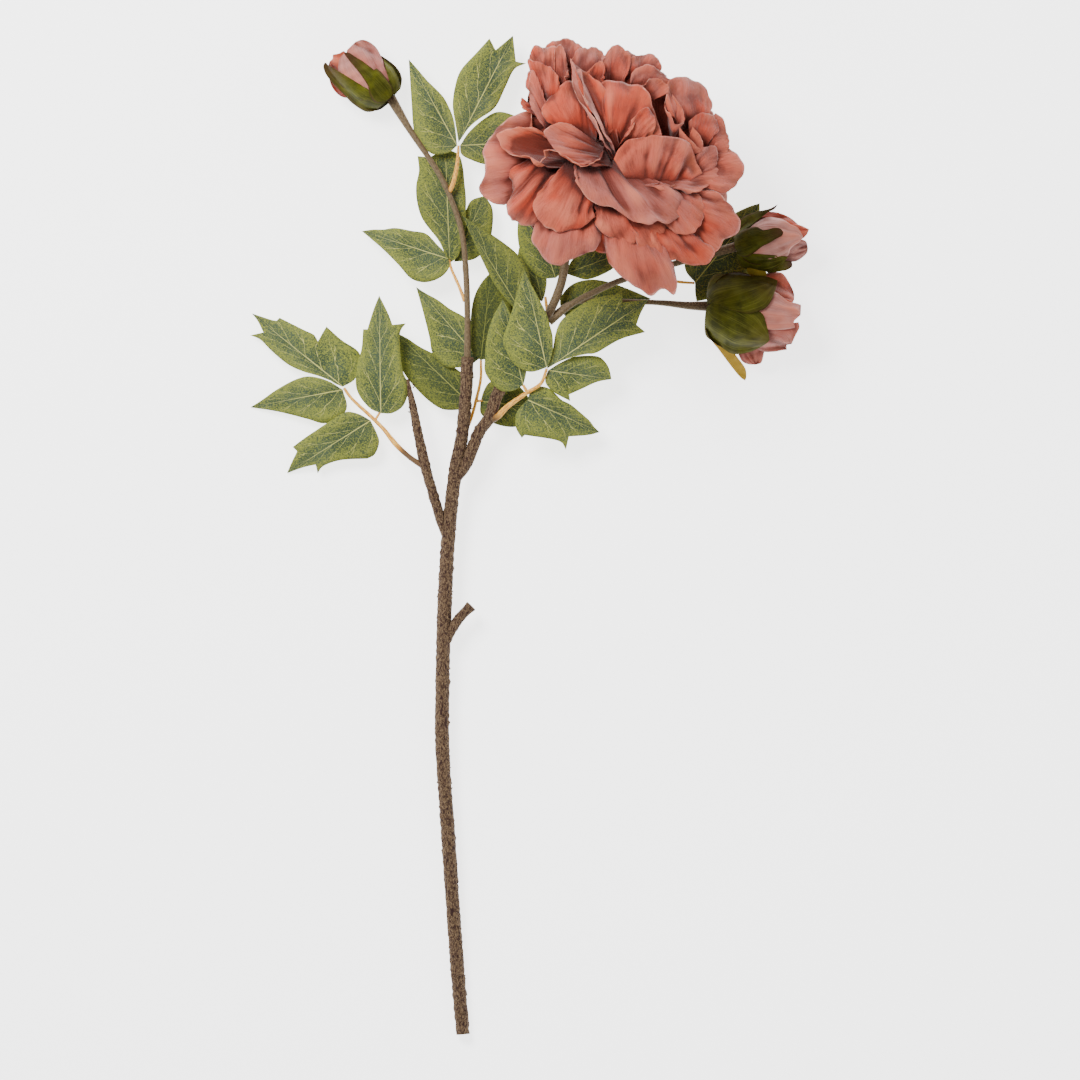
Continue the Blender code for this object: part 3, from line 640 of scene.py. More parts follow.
def leaflet(name, spec, rows=44, half=5, height=None):
    """Sheet between two edges with a midrib; `height`, if given, sets its height over a point in plan."""
    base, tip, left, right, base_z, tip_z, arch, cup, tone = spec
    bend = np.random.default_rng(sum(map(ord, name))).uniform(0.6, 1.4)
    start = np.array(base, float)
    length = math.dist(base, tip)
    axis = unit(np.array(tip, float) - start)
    side = np.array((-axis[1], axis[0]))
    edges = [edge_points(base, left, tip, rows), edge_points(base, right, tip, rows)]
    along = [(edge - start) @ axis / length for edge in edges]
    across = [abs((edge - start) @ side) for edge in edges]
    width = max(a.max() for a in across)
    # the midrib lags behind the edges, so that side veins sweep forward
    mid = (along[0] + along[1]) / 2 - 0.45 * (across[0] + across[1]) / 2 / length
    mid = np.maximum.accumulate(np.maximum(mid, np.linspace(0, 0.06, rows)))
    mid = np.convolve(np.r_[[mid[0]] * 2, mid, [1.0] * 2], np.ones(5) / 5, "valid")
    mid[0], mid[-1] = 0.0, 1.0
    points = np.empty((rows, 2 * half + 1, 3))
    uv = np.empty((rows, 2 * half + 1, 2))
    for i in range(rows):
        middle = start + axis * mid[i] * length
        for k in range(-half, half + 1):
            edge = edges[0][i] if k < 0 else edges[1][i]
            f = abs(k) / half
            plan = middle * (1 - f) + edge * f
            s = (plan - start) @ axis / length
            w = ((plan - start) @ side) / width
            if height:
                z = height(plan, s)
            else:
                z = base_z + (tip_z - base_z) * s + arch * 4 * s * (1 - s) - cup * w * w
                z += 0.5 * math.sin(9 * s * bend + 2 * w) * abs(w) + 0.25 * (1 - math.exp(-abs(w) * 9))
            points[i, k + half] = (*plan, max(z, LOWEST_SHEET))
            uv[i, k + half] = (0.5 + 0.5 * k / half, i / (rows - 1))
    return points, uv, tone, False


for name, spec in LEAFLETS.items():
    make_piece(f"{name}_printed", [leaflet(name, spec)], LEAF, name, LEAF_THICKNESS)


# ---------------------------------------------------------------- bloom
BLOOM_BASE = np.array((74.0, 560.0, 31.0))
BLOOM_AXIS = unit((0.39, 0.45, 0.80))
FIRST = unit(np.cross(BLOOM_AXIS, (0.0, 0.0, 1.0)))
SECOND = np.cross(BLOOM_AXIS, FIRST)
MIDDLE = BLOOM_BASE + BLOOM_AXIS * 60.0
# half width across the axis and half depth along it of the bloom's rounded body
WIDE, DEEP = 112.0, 66.0


def dome(x, y):
    """Height of the bloom's rounded top over a point in plan, from its middle, falling away past the outline."""
    x, y = np.asarray(x, float), np.asarray(y, float)
    ax, ay, az = BLOOM_AXIS
    # squared radius across and depth along the axis, as a quadratic in height
    pa, pb = az * az, 2 * az * (ax * x + ay * y)
    pc = (ax * x + ay * y) ** 2
    qa = pa / DEEP**2 + (1 - pa) / WIDE**2
    qb = pb / DEEP**2 - pb / WIDE**2
    qc = pc / DEEP**2 + (x * x + y * y - pc) / WIDE**2 - 1
    inside = qb * qb - 4 * qa * qc
    top = (-qb + np.sqrt(np.maximum(inside, 0))) / (2 * qa)
    return MIDDLE[2] + np.where(inside > 0, top, -qb / (2 * qa) + inside * 4)


def fan_petal(seed, root, root_drop, rim, rim_drop, bulge, tone, lip=0.0, folds=()):
    """Petal from its root to a free rim, both given in plan from the bloom's middle and as drops below its dome.

    A fold is (share of the rim, height in mm, width as a share); a negative height is a valley.
    A hollow petal has bulge < 0.
    """
    cols, rows = 56, 32
    rng = np.random.default_rng(seed)
    root = np.array(root, float)
    rim = smooth_path(rim, cols)
    share = np.linspace(0, 1, cols)
    distance = np.linalg.norm(rim - root, axis=1, keepdims=True)
    size = distance.mean()
    scallop = sum(np.sin(FULL_TURN * f * share + rng.uniform(0, 6.28)) for f in (3.3, 5.7, 9.1))
    scallop *= min(0.34, size * 0.009) * np.sin(np.pi * share) ** 0.5
    rim = rim + (rim - root) / distance * scallop[:, None]
    drops = np.atleast_1d(np.array(rim_drop, float))
    drops = np.interp(share, np.linspace(0, 1, len(drops)), drops) if len(drops) > 1 else drops
    # the root is drawn out into a line along the rim's chord, a little behind where it was given
    root = root - unit(rim.mean(axis=0) - root) * 5.0 + (share - 0.5)[:, None] * (rim[-1] - rim[0]) * 0.55
    u, v = grid(0, 1, cols, rows)
    points = np.empty((rows, cols, 3))
    points[:, :, :2] = root * (1 - v[:, :, None]) + rim * v[:, :, None]
    drop = (root_drop + 3.0) * (1 - v) ** 1.6 + drops * v**1.6
    points[:, :, 2] = dome(points[:, :, 0], points[:, :, 1]) - drop
    points[:, :, 2] += bulge * np.sin(np.pi * v**0.9) * (0.35 + 0.65 * np.sin(np.pi * u))
    normal = grid_normals(points)
    normal *= np.sign(normal[:, :, 2:3] + 1e-6)
    # ruffles towards the rim, a crumpled face, fine ribs, then the folds
    relief = 1.2 * v**2 * waves(rng, u, v * 0.3, 3, 1.2, 3.4) + 0.9 * v * waves(rng, u, v, 4, 0.8, 2.8)
    relief += 0.30 * v**1.5 * np.sin(FULL_TURN * rng.uniform(7, 10) * u + 2.0 * waves(rng, u, v, 2, 0.5, 1.5))
    chance = [(rng.uniform(0.12, 0.88), rng.uniform(-1.5, 0.9), rng.uniform(0.02, 0.05)) for _ in range(3)]
    fade = np.sin(np.pi * np.clip(v * 0.75 + 0.25, 0, 1)) ** 0.5 * np.clip(v * 2, 0, 1)
    for at, high, wide in (*folds, *chance):
        drift = at + 0.05 * np.sin(2.2 * v + at * 9) * (1 - v)
        relief += high * np.exp(-(((u - drift) / wide) ** 2)) * fade
    # painted shade in the relief's valleys and painted light on its ridges
    relief *= min(1.0, size / 38)
    shade = 0.5 + 0.17 * relief
    # a hollow petal gets painted shade inside and painted light on its raised lip
    if bulge < 0:
        shade -= 0.45 * (1 - np.clip((v - 0.80) / 0.12, 0, 1))
        shade += 0.35 * np.clip((v - 0.82) / 0.1, 0, 1)
    relief += lip * np.clip((v - 0.70) / 0.30, 0, 1) ** 2
    points = points + normal * relief[:, :, None] * np.clip(v * 3, 0, 1)[:, :, None]
    points += MIDDLE * np.array((1, 1, 0))
    tint = tone + 0.06 + 0.20 * waves(rng, u, v, 3, 0.5, 1.6) + 0.12 * (0.5 - v)
    return points, np.stack([u, v], axis=2), np.clip(tint, -1, 1), False, np.clip(shade, 0, 1)


# Outline of the bloom in plan: direction in degrees, radius
OUTLINE = (
    (0, 88), (12, 84), (25, 80), (38, 80), (48, 86), (60, 78), (75, 82), (90, 84), (105, 84), (117, 91), (127, 93),
    (137, 84), (146, 72), (156, 70), (168, 80), (180, 83), (190, 87), (200, 73), (215, 71), (230, 72), (241, 73),
    (255, 60), (265, 57), (275, 64), (287, 82), (298, 92), (304, 88), (312, 72), (322, 84), (332, 87), (342, 90),
    (351, 84), (360, 88),
)


def within_outline(points, share):
    """Draw points in towards the bloom's middle so that none passes the outline in plan."""
    offset = points[:, :, :2] - MIDDLE[:2]
    radius = np.linalg.norm(offset, axis=2)
    direction = np.degrees(np.arctan2(offset[:, :, 1], offset[:, :, 0])) % 360
    limit = np.interp(direction, *zip(*OUTLINE)) * share
    points[:, :, :2] = MIDDLE[:2] + offset * ((1 + (radius / limit) ** 8) ** (-1 / 8))[:, :, None]
    return points


def along_meridian(meridian, w):
    """Radius and height on a curve of three control points (radius, height)."""
    (r0, h0), (r1, h1), (r2, h2) = meridian
    a, b, c = (1 - w) ** 2, 2 * w * (1 - w), w * w
    return a * r0 + b * r1 + c * r2, a * h0 + b * h1 + c * h2


def about_axis(base, axis, first, second, r, h, turn):
    """Points at a radius, a height and an angle about an axis."""
    out = np.cos(turn)[:, :, None] * first + np.sin(turn)[:, :, None] * second
    return base + axis * h[:, :, None] + out * r[:, :, None]


def whorl_petal(seed, angle, half, meridian, reach, tone):
    """Petal of a ring about the bloom's axis, following a cup-shaped meridian."""
    rng = np.random.default_rng(seed)
    u, v = grid(-1, 1, 30, 20)
    end = reach * (1 - 0.20 * abs(u) ** 2.6 + 0.03 * waves(rng, u, u * 0, 3, 0.6, 2.2))
    r, h = along_meridian(meridian, 0.04 + (end - 0.04) * v)
    opening = 0.45 + 0.55 * np.sin(np.pi / 2 * np.clip(v * 1.3, 0, 1))
    turn = math.radians(angle) + math.radians(half) * u * opening
    r = r + 1.5 * u - 1.2 * u * u * v
    points = about_axis(BLOOM_BASE, BLOOM_AXIS, FIRST, SECOND, r, h, turn)
    ruffle = 2.5 * v**2 * waves(rng, u * 0.5, v * 0.3, 3, 0.8, 2.6) + 0.8 * waves(rng, u * 0.5, v, 3, 0.8, 2.0) * v
    points = points + grid_normals(points) * ruffle[:, :, None]
    points[:, :, 2] = np.maximum(points[:, :, 2], 0.6 + 0.4 * v)
    points = within_outline(points, 0.90)
    shade = tone + 0.14 * waves(rng, u * 0.5, v, 3, 0.5, 1.6)
    return points, np.stack([(u + 1) / 2, v], axis=2), np.clip(shade, 0, 1), False


WHORLS = (
    # layer, meridian, petals, first angle, half width, tone
    (1, ((4, 4.0), (72, -2), (88, 38)), 7, 10, 36, 0.15),
    (2, ((4, 5.6), (74, 8), (88, 58)), 7, 34, 36, 0.25),
    (2, ((30, 22), (96, 42), (87, 91)), 8, 18, 31, 0.40),
    (3, ((4, 7.2), (72, 16), (82, 78)), 6, 0, 40, 0.45),
    (3, ((30, 26), (86, 56), (76, 102)), 7, 44, 34, 0.50),
    (4, ((4, 8.8), (62, 24), (68, 92)), 6, 30, 40, 0.55),
    (5, ((4, 10.4), (52, 30), (52, 100)), 5, 12, 46, 0.70),
    (6, ((4, 12.0), (40, 36), (34, 102)), 5, 40, 46, 0.85),
    (7, ((3, 13.6), (26, 40), (18, 98)), 4, 5, 56, 1.0),
)
bloom = {layer: [] for layer in range(1, 8)}
picker = random.Random(5)
for layer, meridian, count, first, half, tone in WHORLS:
    for k in range(count):
        angle = first + 360 * k / count + picker.uniform(-5, 5)
        seed = layer * 20 + k + len(bloom[layer])
        wide, reach = half * picker.uniform(0.92, 1.08), picker.uniform(0.90, 1.0)
        tint = tone + picker.uniform(-0.12, 0.12)
        bloom[layer].append(whorl_petal(seed, angle, wide, meridian, reach, tint))

# Petals shaped one by one: layer, then what fan_petal takes after its seed
SHAPED = (
    # backing
    (4, (10, 38), 24, ((-8, 72), (4, 79), (16, 79), (30, 73), (41, 64)), 7, 2, 0.8, 0),
    (4, (44, 18), 26, ((60, 56), (70, 42), (76, 28), (80, 12), (80, -4)), 9, 2, 0.8, 0),
    (5, (38, 26), 28, ((20, 54), (30, 62), (44, 62), (56, 54), (63, 40), (62, 26)), 14, 1, 1.0, 0),
    (4, (-24, 38), 24, ((-55, 56), (-51, 70), (-43, 79), (-30, 83), (-14, 78)), 7, 2, 0.85, 0),
    (2, (-26, 10), 40, ((-64, -14), (-66, 4), (-60, 22), (-48, 34), (-30, 38)), 26, 0, 0.7, 0),
    (2, (0, -14), 26, ((-44, -30), (-30, -44), (-8, -54), (14, -60), (36, -58), (56, -48)), 12, 2, 0.9, 0),
    (2, (30, -10), 32, ((40, -56), (56, -57), (67, -51), (79, -40), (83, -26), (82, -10)), 15, 0, 0.6, 0),
    # skirt, left
    (1, (-20, 12), 50, ((-50, 38), (-59, 37), (-70, 32), (-79, 22), (-83, 11), (-82, -1), (-87, -13), (-80, -20),
        (-69, -23)), (14, 10, 6, 2, 0, 0, 0, 4, 12), 0, 0.05, 0,
        ((0.25, -1.8, 0.05), (0.6, 1.2, 0.10), (0.76, -1.2, 0.04))),
    (3, (-18, 6), 26, ((-40, 22), (-46, 25), (-56, 27), (-68, 26), (-74, 21), (-71, 14), (-62, 8), (-52, 4),
        (-44, 2)), (8, 5, 2, -2, -6, -6, -4, -2, 2), -6, 0.55, 2.0, ((0.5, -1.0, 0.1),)),
    (3, (-14, 16), 22, ((-47, 5), (-42, 10), (-33, 10), (-24, 3), (-15, -1), (-5, 5)), (0, -4, -4, -4, -3, 2), -9,
        0.4, 2.0),
    (2, (-36, 2), 22, ((-68, -2), (-66, -13), (-69, -23), (-68, -32), (-63, -38), (-53, -40), (-43, -40)),
        (6, 5, 4, 4, 5, 8, 10), 9, 0.70, -3, ((0.3, -2.6, 0.06), (0.62, -2.2, 0.05), (0.5, 1.6, 0.06))),
    (3, (-19, -3), 16, ((-39, -8), (-46, -17), (-48, -26), (-45, -35), (-38, -41), (-28, -42), (-18, -40), (-9, -32)),
        (4, 2, 1, 1, 1, 2, 2, 4), 8, 0.60, 1.0, ((0.45, 0.9, 0.1), (0.56, -0.7, 0.015), (0.78, -1.8, 0.03),
        (0.9, 1.4, 0.03))),
    (1, (-24, -14), 26, ((-49, -37), (-50, -47), (-46, -55), (-40, -63), (-32, -64), (-19, -60), (-8, -54),
        (-4, -44)), (12, 8, 5, 2, 2, 2, 4, 8), 5, 0.10, 0, ((0.35, -1.0, 0.03), (0.7, -1.2, 0.04))),
    (1, (12, -24), 26, ((-3, -44), (-1, -58), (2, -65), (12, -74), (23, -82), (30, -85), (39, -81), (46, -84),
        (46, -64), (36, -47)), (12, 6, 4, 2, 0, 0, 0, 0, 2, 8), 5, 0.20, 0,
        ((0.3, -1.0, 0.03), (0.5, 0.8, 0.05), (0.75, -1.0, 0.03))),
    (4, (-3, 4), 16, ((-21, -2), (-18, -13), (-10, -23), (5, -27), (17, -35), (27, -38), (33, -35), (41, -37),
        (51, -30), (52, -21), (44, -14)), (0, -2, -2, -2, -2, -2, -2, -2, -1, 2, 5), 4, -0.12, 1.0,
        ((0.50, -3.2, 0.06), (0.62, 2.0, 0.06), (0.82, -1.6, 0.05), (0.2, 0.8, 0.06))),
    (2, (5, -19), 20, ((-7, -30), (-2, -42), (5, -47), (15, -50), (21, -46), (24, -55), (32, -54), (33, -46),
        (42, -42), (45, -36)), 6, 5, 0.45, 1.5),
    (2, (36, -30), 18, ((31, -46), (40, -59), (49, -61), (58, -64), (67, -61), (70, -54), (64, -49), (51, -43)),
        (6, 4, 3, 2, 0, 0, 2, 4), 6, 0.75, 2.5),
    (2, (45, -20), 22, ((59, -15), (72, -17), (81, -23), (88, -35), (86, -43), (78, -46), (72, -54), (64, -46)),
        (4, 1, -2, -4, -4, 0, 2, 5), 6, 0.45, 2.5, ((0.3, -2.0, 0.04), (0.55, 1.5, 0.05), (0.75, -1.8, 0.04))),
    (2, (40, -17), 12, ((37, -34), (46, -43), (56, -43), (63, -37), (66, -26), (61, -17)), (2, 0, -1, -1, 0, 3), 4,
        0.35, 1.0, ((0.4, -1.6, 0.04), (0.65, 1.0, 0.05))),
    (2, (52, -4), 20, ((73, 15), (83, 14), (90, 4), (91, -3), (87, -10), (78, -14), (68, -13), (57, -15)),
        (4, 0, -4, -5, -4, 0, 2, 4), 5, 0.60, 2.0),
    (3, (30, -6), 12, ((36, -12), (45, -11), (55, -15), (64, -13), (75, -6), (81, 0), (81, 8)), (4, 2, 1, 1, 1, 2, 4),
        2, 0.15, 2.0, ((0.35, -1.2, 0.04), (0.6, -1.0, 0.03))),
    # ball of petals round the opening
    (4, (32, -8), 10, ((5, 6), (9, 13), (14, 18), (23, 21), (36, 21), (51, 20), (57, 11), (62, -3)),
        (2, -1, -3, -4, -4, -3, 0, 4), 6, 0.50, 2.0,
        ((0.08, -0.7, 0.012), (0.14, -0.7, 0.012), (0.20, -0.7, 0.012), (0.40, -2.2, 0.03), (0.50, 1.6, 0.04),
        (0.62, -2.4, 0.03), (0.74, 1.6, 0.04), (0.85, -1.6, 0.03))),
    (4, (-3, 9), 12, ((-24, 30), (-34, 30), (-42, 25), (-39, 18), (-32, 10), (-21, 3), (-12, 5)),
        (-1, -2, -2, -3, -3, -2, 0), 4, 0.25, 0.5, ((0.2, -1.5, 0.03), (0.33, 1.4, 0.04), (0.47, -1.8, 0.03),
        (0.6, 1.4, 0.04), (0.76, -1.6, 0.03), (0.88, 1.0, 0.03))),
    (5, (-17, 23), 12, ((-39, 32), (-42, 43), (-35, 52), (-25, 59), (-18, 56), (-12, 43), (-7, 28)),
        (4, 2, 0, -1, -1, 0, 1), 8, 0.85, 1.0, ((0.3, 1.0, 0.1), (0.7, -1.2, 0.05))),
    (6, (5, 12), 10, ((-8, 30), (-14, 42), (-19, 56), (-25, 72), (-18, 69), (-9, 60), (0, 50), (5, 36)),
        (-6, -8, -9, -9, -5, -3, -1, 1), 4, 1.0, 1.0),
    (6, (5, 11), 5, ((-4, 20), (-9, 29), (-15, 40), (-20, 53), (-24, 66), (-25, 73), (-21, 70), (-16, 58), (-12, 46),
        (-7, 34), (1, 20)), (-7, -9, -10, -11, -11, -10, -11, -11, -11, -10, -7), 2, -0.35, 0),
    (6, (6, 13), 16, ((4, 28), (0, 45), (-3, 58), (11, 59), (23, 55), (30, 45), (34, 33), (36, 22)),
        (4, 0, -3, -5, -6, -6, -5, -2), 7, 0.72, 1.0,
        ((0.33, -2.8, 0.025), (0.40, 1.8, 0.04), (0.62, -1.6, 0.04), (0.8, -1.2, 0.03))),
    (6, (11, 13), 10, ((14, 24), (20, 36), (25, 41), (30, 40), (32, 34), (31, 23)), (-4, -7, -8, -8, -7, -4), 5, 0.65,
        1.0),
    (5, (-40, 45), 12, ((-53, 72), (-50, 81), (-41, 83), (-34, 80), (-33, 70)), (2, 0, 0, 0, 2), 3, 0.65, 1.0),
    (5, (-38, 46), 8, ((-52, 73), (-44, 71), (-36, 66), (-32, 58)), (-3, -4, -4, -3), 4, 0.75, 1.5),
    (5, (-30, 50), 6, ((-36, 72), (-35, 82), (-30, 83), (-27, 73), (-27, 62)), (-4, -4, -4, -4, -3), 3, 0.55, 1.0),
    (5, (-39, 31), 8, ((-43, 50), (-50, 66), (-53, 55), (-51, 44), (-47, 34)), (0, -1, -1, -1, 1), 3, 0.20, 0.5),
    (3, (-46, 38), 14, ((-57, 48), (-58, 44), (-54, 39)), 6, 0, 1.0, 0.5),
    (5, (-26, 66), 12, ((-42, 82), (-34, 87), (-25, 88), (-18, 83), (-16, 76)), (4, 2, 2, 2, 4), 3, 0.55, 1.0),
    (5, (-12, 57), 14, ((-24, 74), (-19, 81), (-12, 83), (-4, 81), (-2, 76), (-6, 69)), (0, 0, 0, 0, 0, 2), 3, 0.0,
        0.5),
    (6, (-8, 56), 10, ((-14, 65), (-5, 73), (-1, 68), (-3, 60)), (-4, -6, -6, -4), 2, 0.70, 1.0),
    (5, (5, 58), 14, ((-3, 70), (0, 79), (7, 84), (13, 80), (16, 75), (14, 66)), (2, 0, 0, 0, 0, 2), 4, 0.60, 1.0),
    (4, (21, 60), 12, ((14, 70), (18, 76), (25, 78), (32, 77), (36, 70), (34, 64)), (4, 2, 2, 2, 2, 4), 4, 0.70, 1.0),
    (5, (24, 53), 12, ((16, 61), (19, 67), (27, 70), (36, 67), (41, 61), (41, 56)), (0, -2, -3, -3, -2, 0), 4, 0.40,
        1.0),
    (6, (26, 50), 8, ((24, 56), (28, 61), (35, 61), (41, 57), (42, 52)), (-5, -7, -7, -6, -5), 2, 0.35, 1.0),
    (4, (58, 27), 16, ((44, 38), (41, 48), (42, 60), (53, 62), (63, 58), (68, 49), (70, 42), (65, 33)),
        (2, -2, -4, -2, 0, 0, 2, 4), 6, 0.50, 1.5),
    (4, (63, 18), 14, ((55, 32), (64, 38), (72, 36), (75, 28), (70, 22)), (2, 0, -1, 0, 3), 5, 0.80, 1.0),
    (3, (66, 16), 16, ((73, 38), (79, 31), (82, 19), (79, 11), (72, 10)), (4, 0, -2, 0, 4), 4, 0.60, 1.5),
    (6, (45, 24), 14, ((40, 46), (42, 38), (46, 30), (52, 33), (50, 42), (44, 50)), (0, -2, -2, -3, -2, 0), 2, 0.45,
        1.5),
    (5, (54, 12), 10, ((49, 28), (54, 21), (64, 12), (63, 20), (57, 28)), (-2, -4, -3, -2, -2), 3, 0.35, 2.0),
    (3, (59, 0), 12, ((60, 8), (66, 14), (72, 16), (75, 7), (69, 0)), (0, -3, -4, -2, 2), 4, 0.15, 1.0),
)
for n, (layer, *shape) in enumerate(SHAPED):
    bloom[layer].append(fan_petal(300 + n, *shape))


def crease_shade(groups, middle, span=110, lift=0.12):
    """Paint shade onto each petal where others stand close over it, darkest in the folds; `lift` first raises every
    shade value, which lightens the open parts towards the painted highlight.

    The petals' tops are laid out on a plan of 1 mm cells that reaches `span` mm from the middle each way.
    """
    size = 2 * span + 1
    top = np.full((size, size), -50.0)
    cells = {}
    for key, patches in groups.items():
        for n, (points, *_) in enumerate(patches):
            cell = np.clip(np.rint(points[:, :, :2] - middle[:2] + span).astype(int), 1, size - 2)
            cells[key, n] = cell
            for dx in (-1, 0, 1):
                for dy in (-1, 0, 1):
                    np.maximum.at(top, (cell[:, :, 0] + dx, cell[:, :, 1] + dy), points[:, :, 2])
    for key, patches in groups.items():
        for n, patch in enumerate(patches):
            z = patch[0][:, :, 2]
            shut = np.zeros_like(z)
            # painted shade: how far nearby petal tops stand over this point
            for reach, weight in ((2.5, 0.30), (5.0, 0.35), (9.0, 0.35)):
                for turn in np.arange(12) * math.pi / 6:
                    step = np.rint(reach * np.array((math.cos(turn), math.sin(turn)))).astype(int)
                    near = np.clip(cells[key, n] + step, 0, size - 1)
                    above = top[near[:, :, 0], near[:, :, 1]] - z - 0.8
                    shut += weight / 12 * np.clip(above / reach, 0, 1)
            shade = patch[4] if len(patch) > 4 else 0.5
            patches[n] = (*patch[:4], np.clip(shade + lift - shut, 0, 1))


def settle(points, low=60.0, high=120.0, sink=7.0):
    """Let the bloom sink under its own weight: not at all below the first height, fully above the second."""
    rise = np.clip((points[:, :, 2] - low) / (high - low), 0, 1)
    points[:, :, 2] -= sink * rise * rise * (3 - 2 * rise)


for patches in bloom.values():
    for patch in patches:
        settle(patch[0])
crease_shade(bloom, MIDDLE)
for layer, patches in bloom.items():
    make_piece(f"bloom_petals_{layer}", patches, PETAL, f"bloom_layer_{layer}", PETAL_THICKNESS)


def turned(profile, around=28, tone=0.0, ridge=0.0, ridges=5):
    """Closed form turned about the bloom's axis from a profile of (radius, height), with ridges along it."""
    line = smooth_path(profile, 24)
    r, h, turn = np.broadcast_arrays(line[:, :1], line[:, 1:], np.linspace(0, FULL_TURN, around, endpoint=False))
    r = np.maximum(r, 0.15) * (1 + ridge * np.cos(ridges * turn + h * 0.08))
    points = about_axis(BLOOM_BASE, BLOOM_AXIS, FIRST, SECOND, r, h, turn)
    return points, np.stack(grid(0, 1, around, len(line)), axis=2), tone, True


roll = turned(((0.3, 18.5), (4, 22), (8, 34), (11, 56), (9.5, 78), (5, 90), (0.3, 94)), 36, 1.0, 0.12, 4)
settle(roll[0])
make_piece("bloom_heart_roll", [roll], PETAL, "bloom_heart")
cup = turned(((0.3, -4), (4.5, -4), (8, -1), (8.5, 1.5), (6, 2.8), (0.3, 2.8)))
make_piece("bloom_calyx_cup", [cup], SEPAL, "bloom_calyx")


# ---------------------------------------------------------------- buds
def bud_petal(seed, base, axis, angle, half, meridian, reach, tone, point=0.2, ruffle=1.0, lean=0.6, tip_sharp=2.6):
    """Petal or sepal of a bud, in a ring about the bud's axis."""
    rng = np.random.default_rng(seed)
    base, axis = np.array(base, float), unit(axis)
    up = unit(np.array((0.0, 0.0, 1.0)) - axis * axis[2])
    u, v = grid(-1, 1, 22, 18)
    end = reach * (1 - point * abs(u) ** tip_sharp)
    r, h = along_meridian(meridian, 0.03 + (end - 0.03) * v)
    opening = 0.6 + 0.4 * np.sin(np.pi / 2 * np.clip(v * 1.5, 0, 1))
    turn = math.radians(angle) + math.radians(half) * u * opening
    points = about_axis(base, axis, up, np.cross(up, axis), r + lean * u, h, turn)
    relief = ruffle * v**2 * waves(rng, u * 0.5, v * 0.3, 3, 0.7, 2.0)
    points = points + grid_normals(points) * relief[:, :, None]
    return points, np.stack([(u + 1) / 2, v], axis=2), tone, False


# name: base, axis, petal radius and length, sepal radius and length
BUDS = {
    "left_bud": ((-47.4, 637, 17.2), (-0.76, 0.60, 0.22), 17, 43, 18, 30),
    "upper_bud": ((186.5, 536.4, 28), (0.96, 0.22, 0.08), 14, 42, 15, 30),
    "lower_bud": ((165.5, 495.6, 28.6), (0.98, -0.16, 0.06), 25, 54, 26, 36),
}
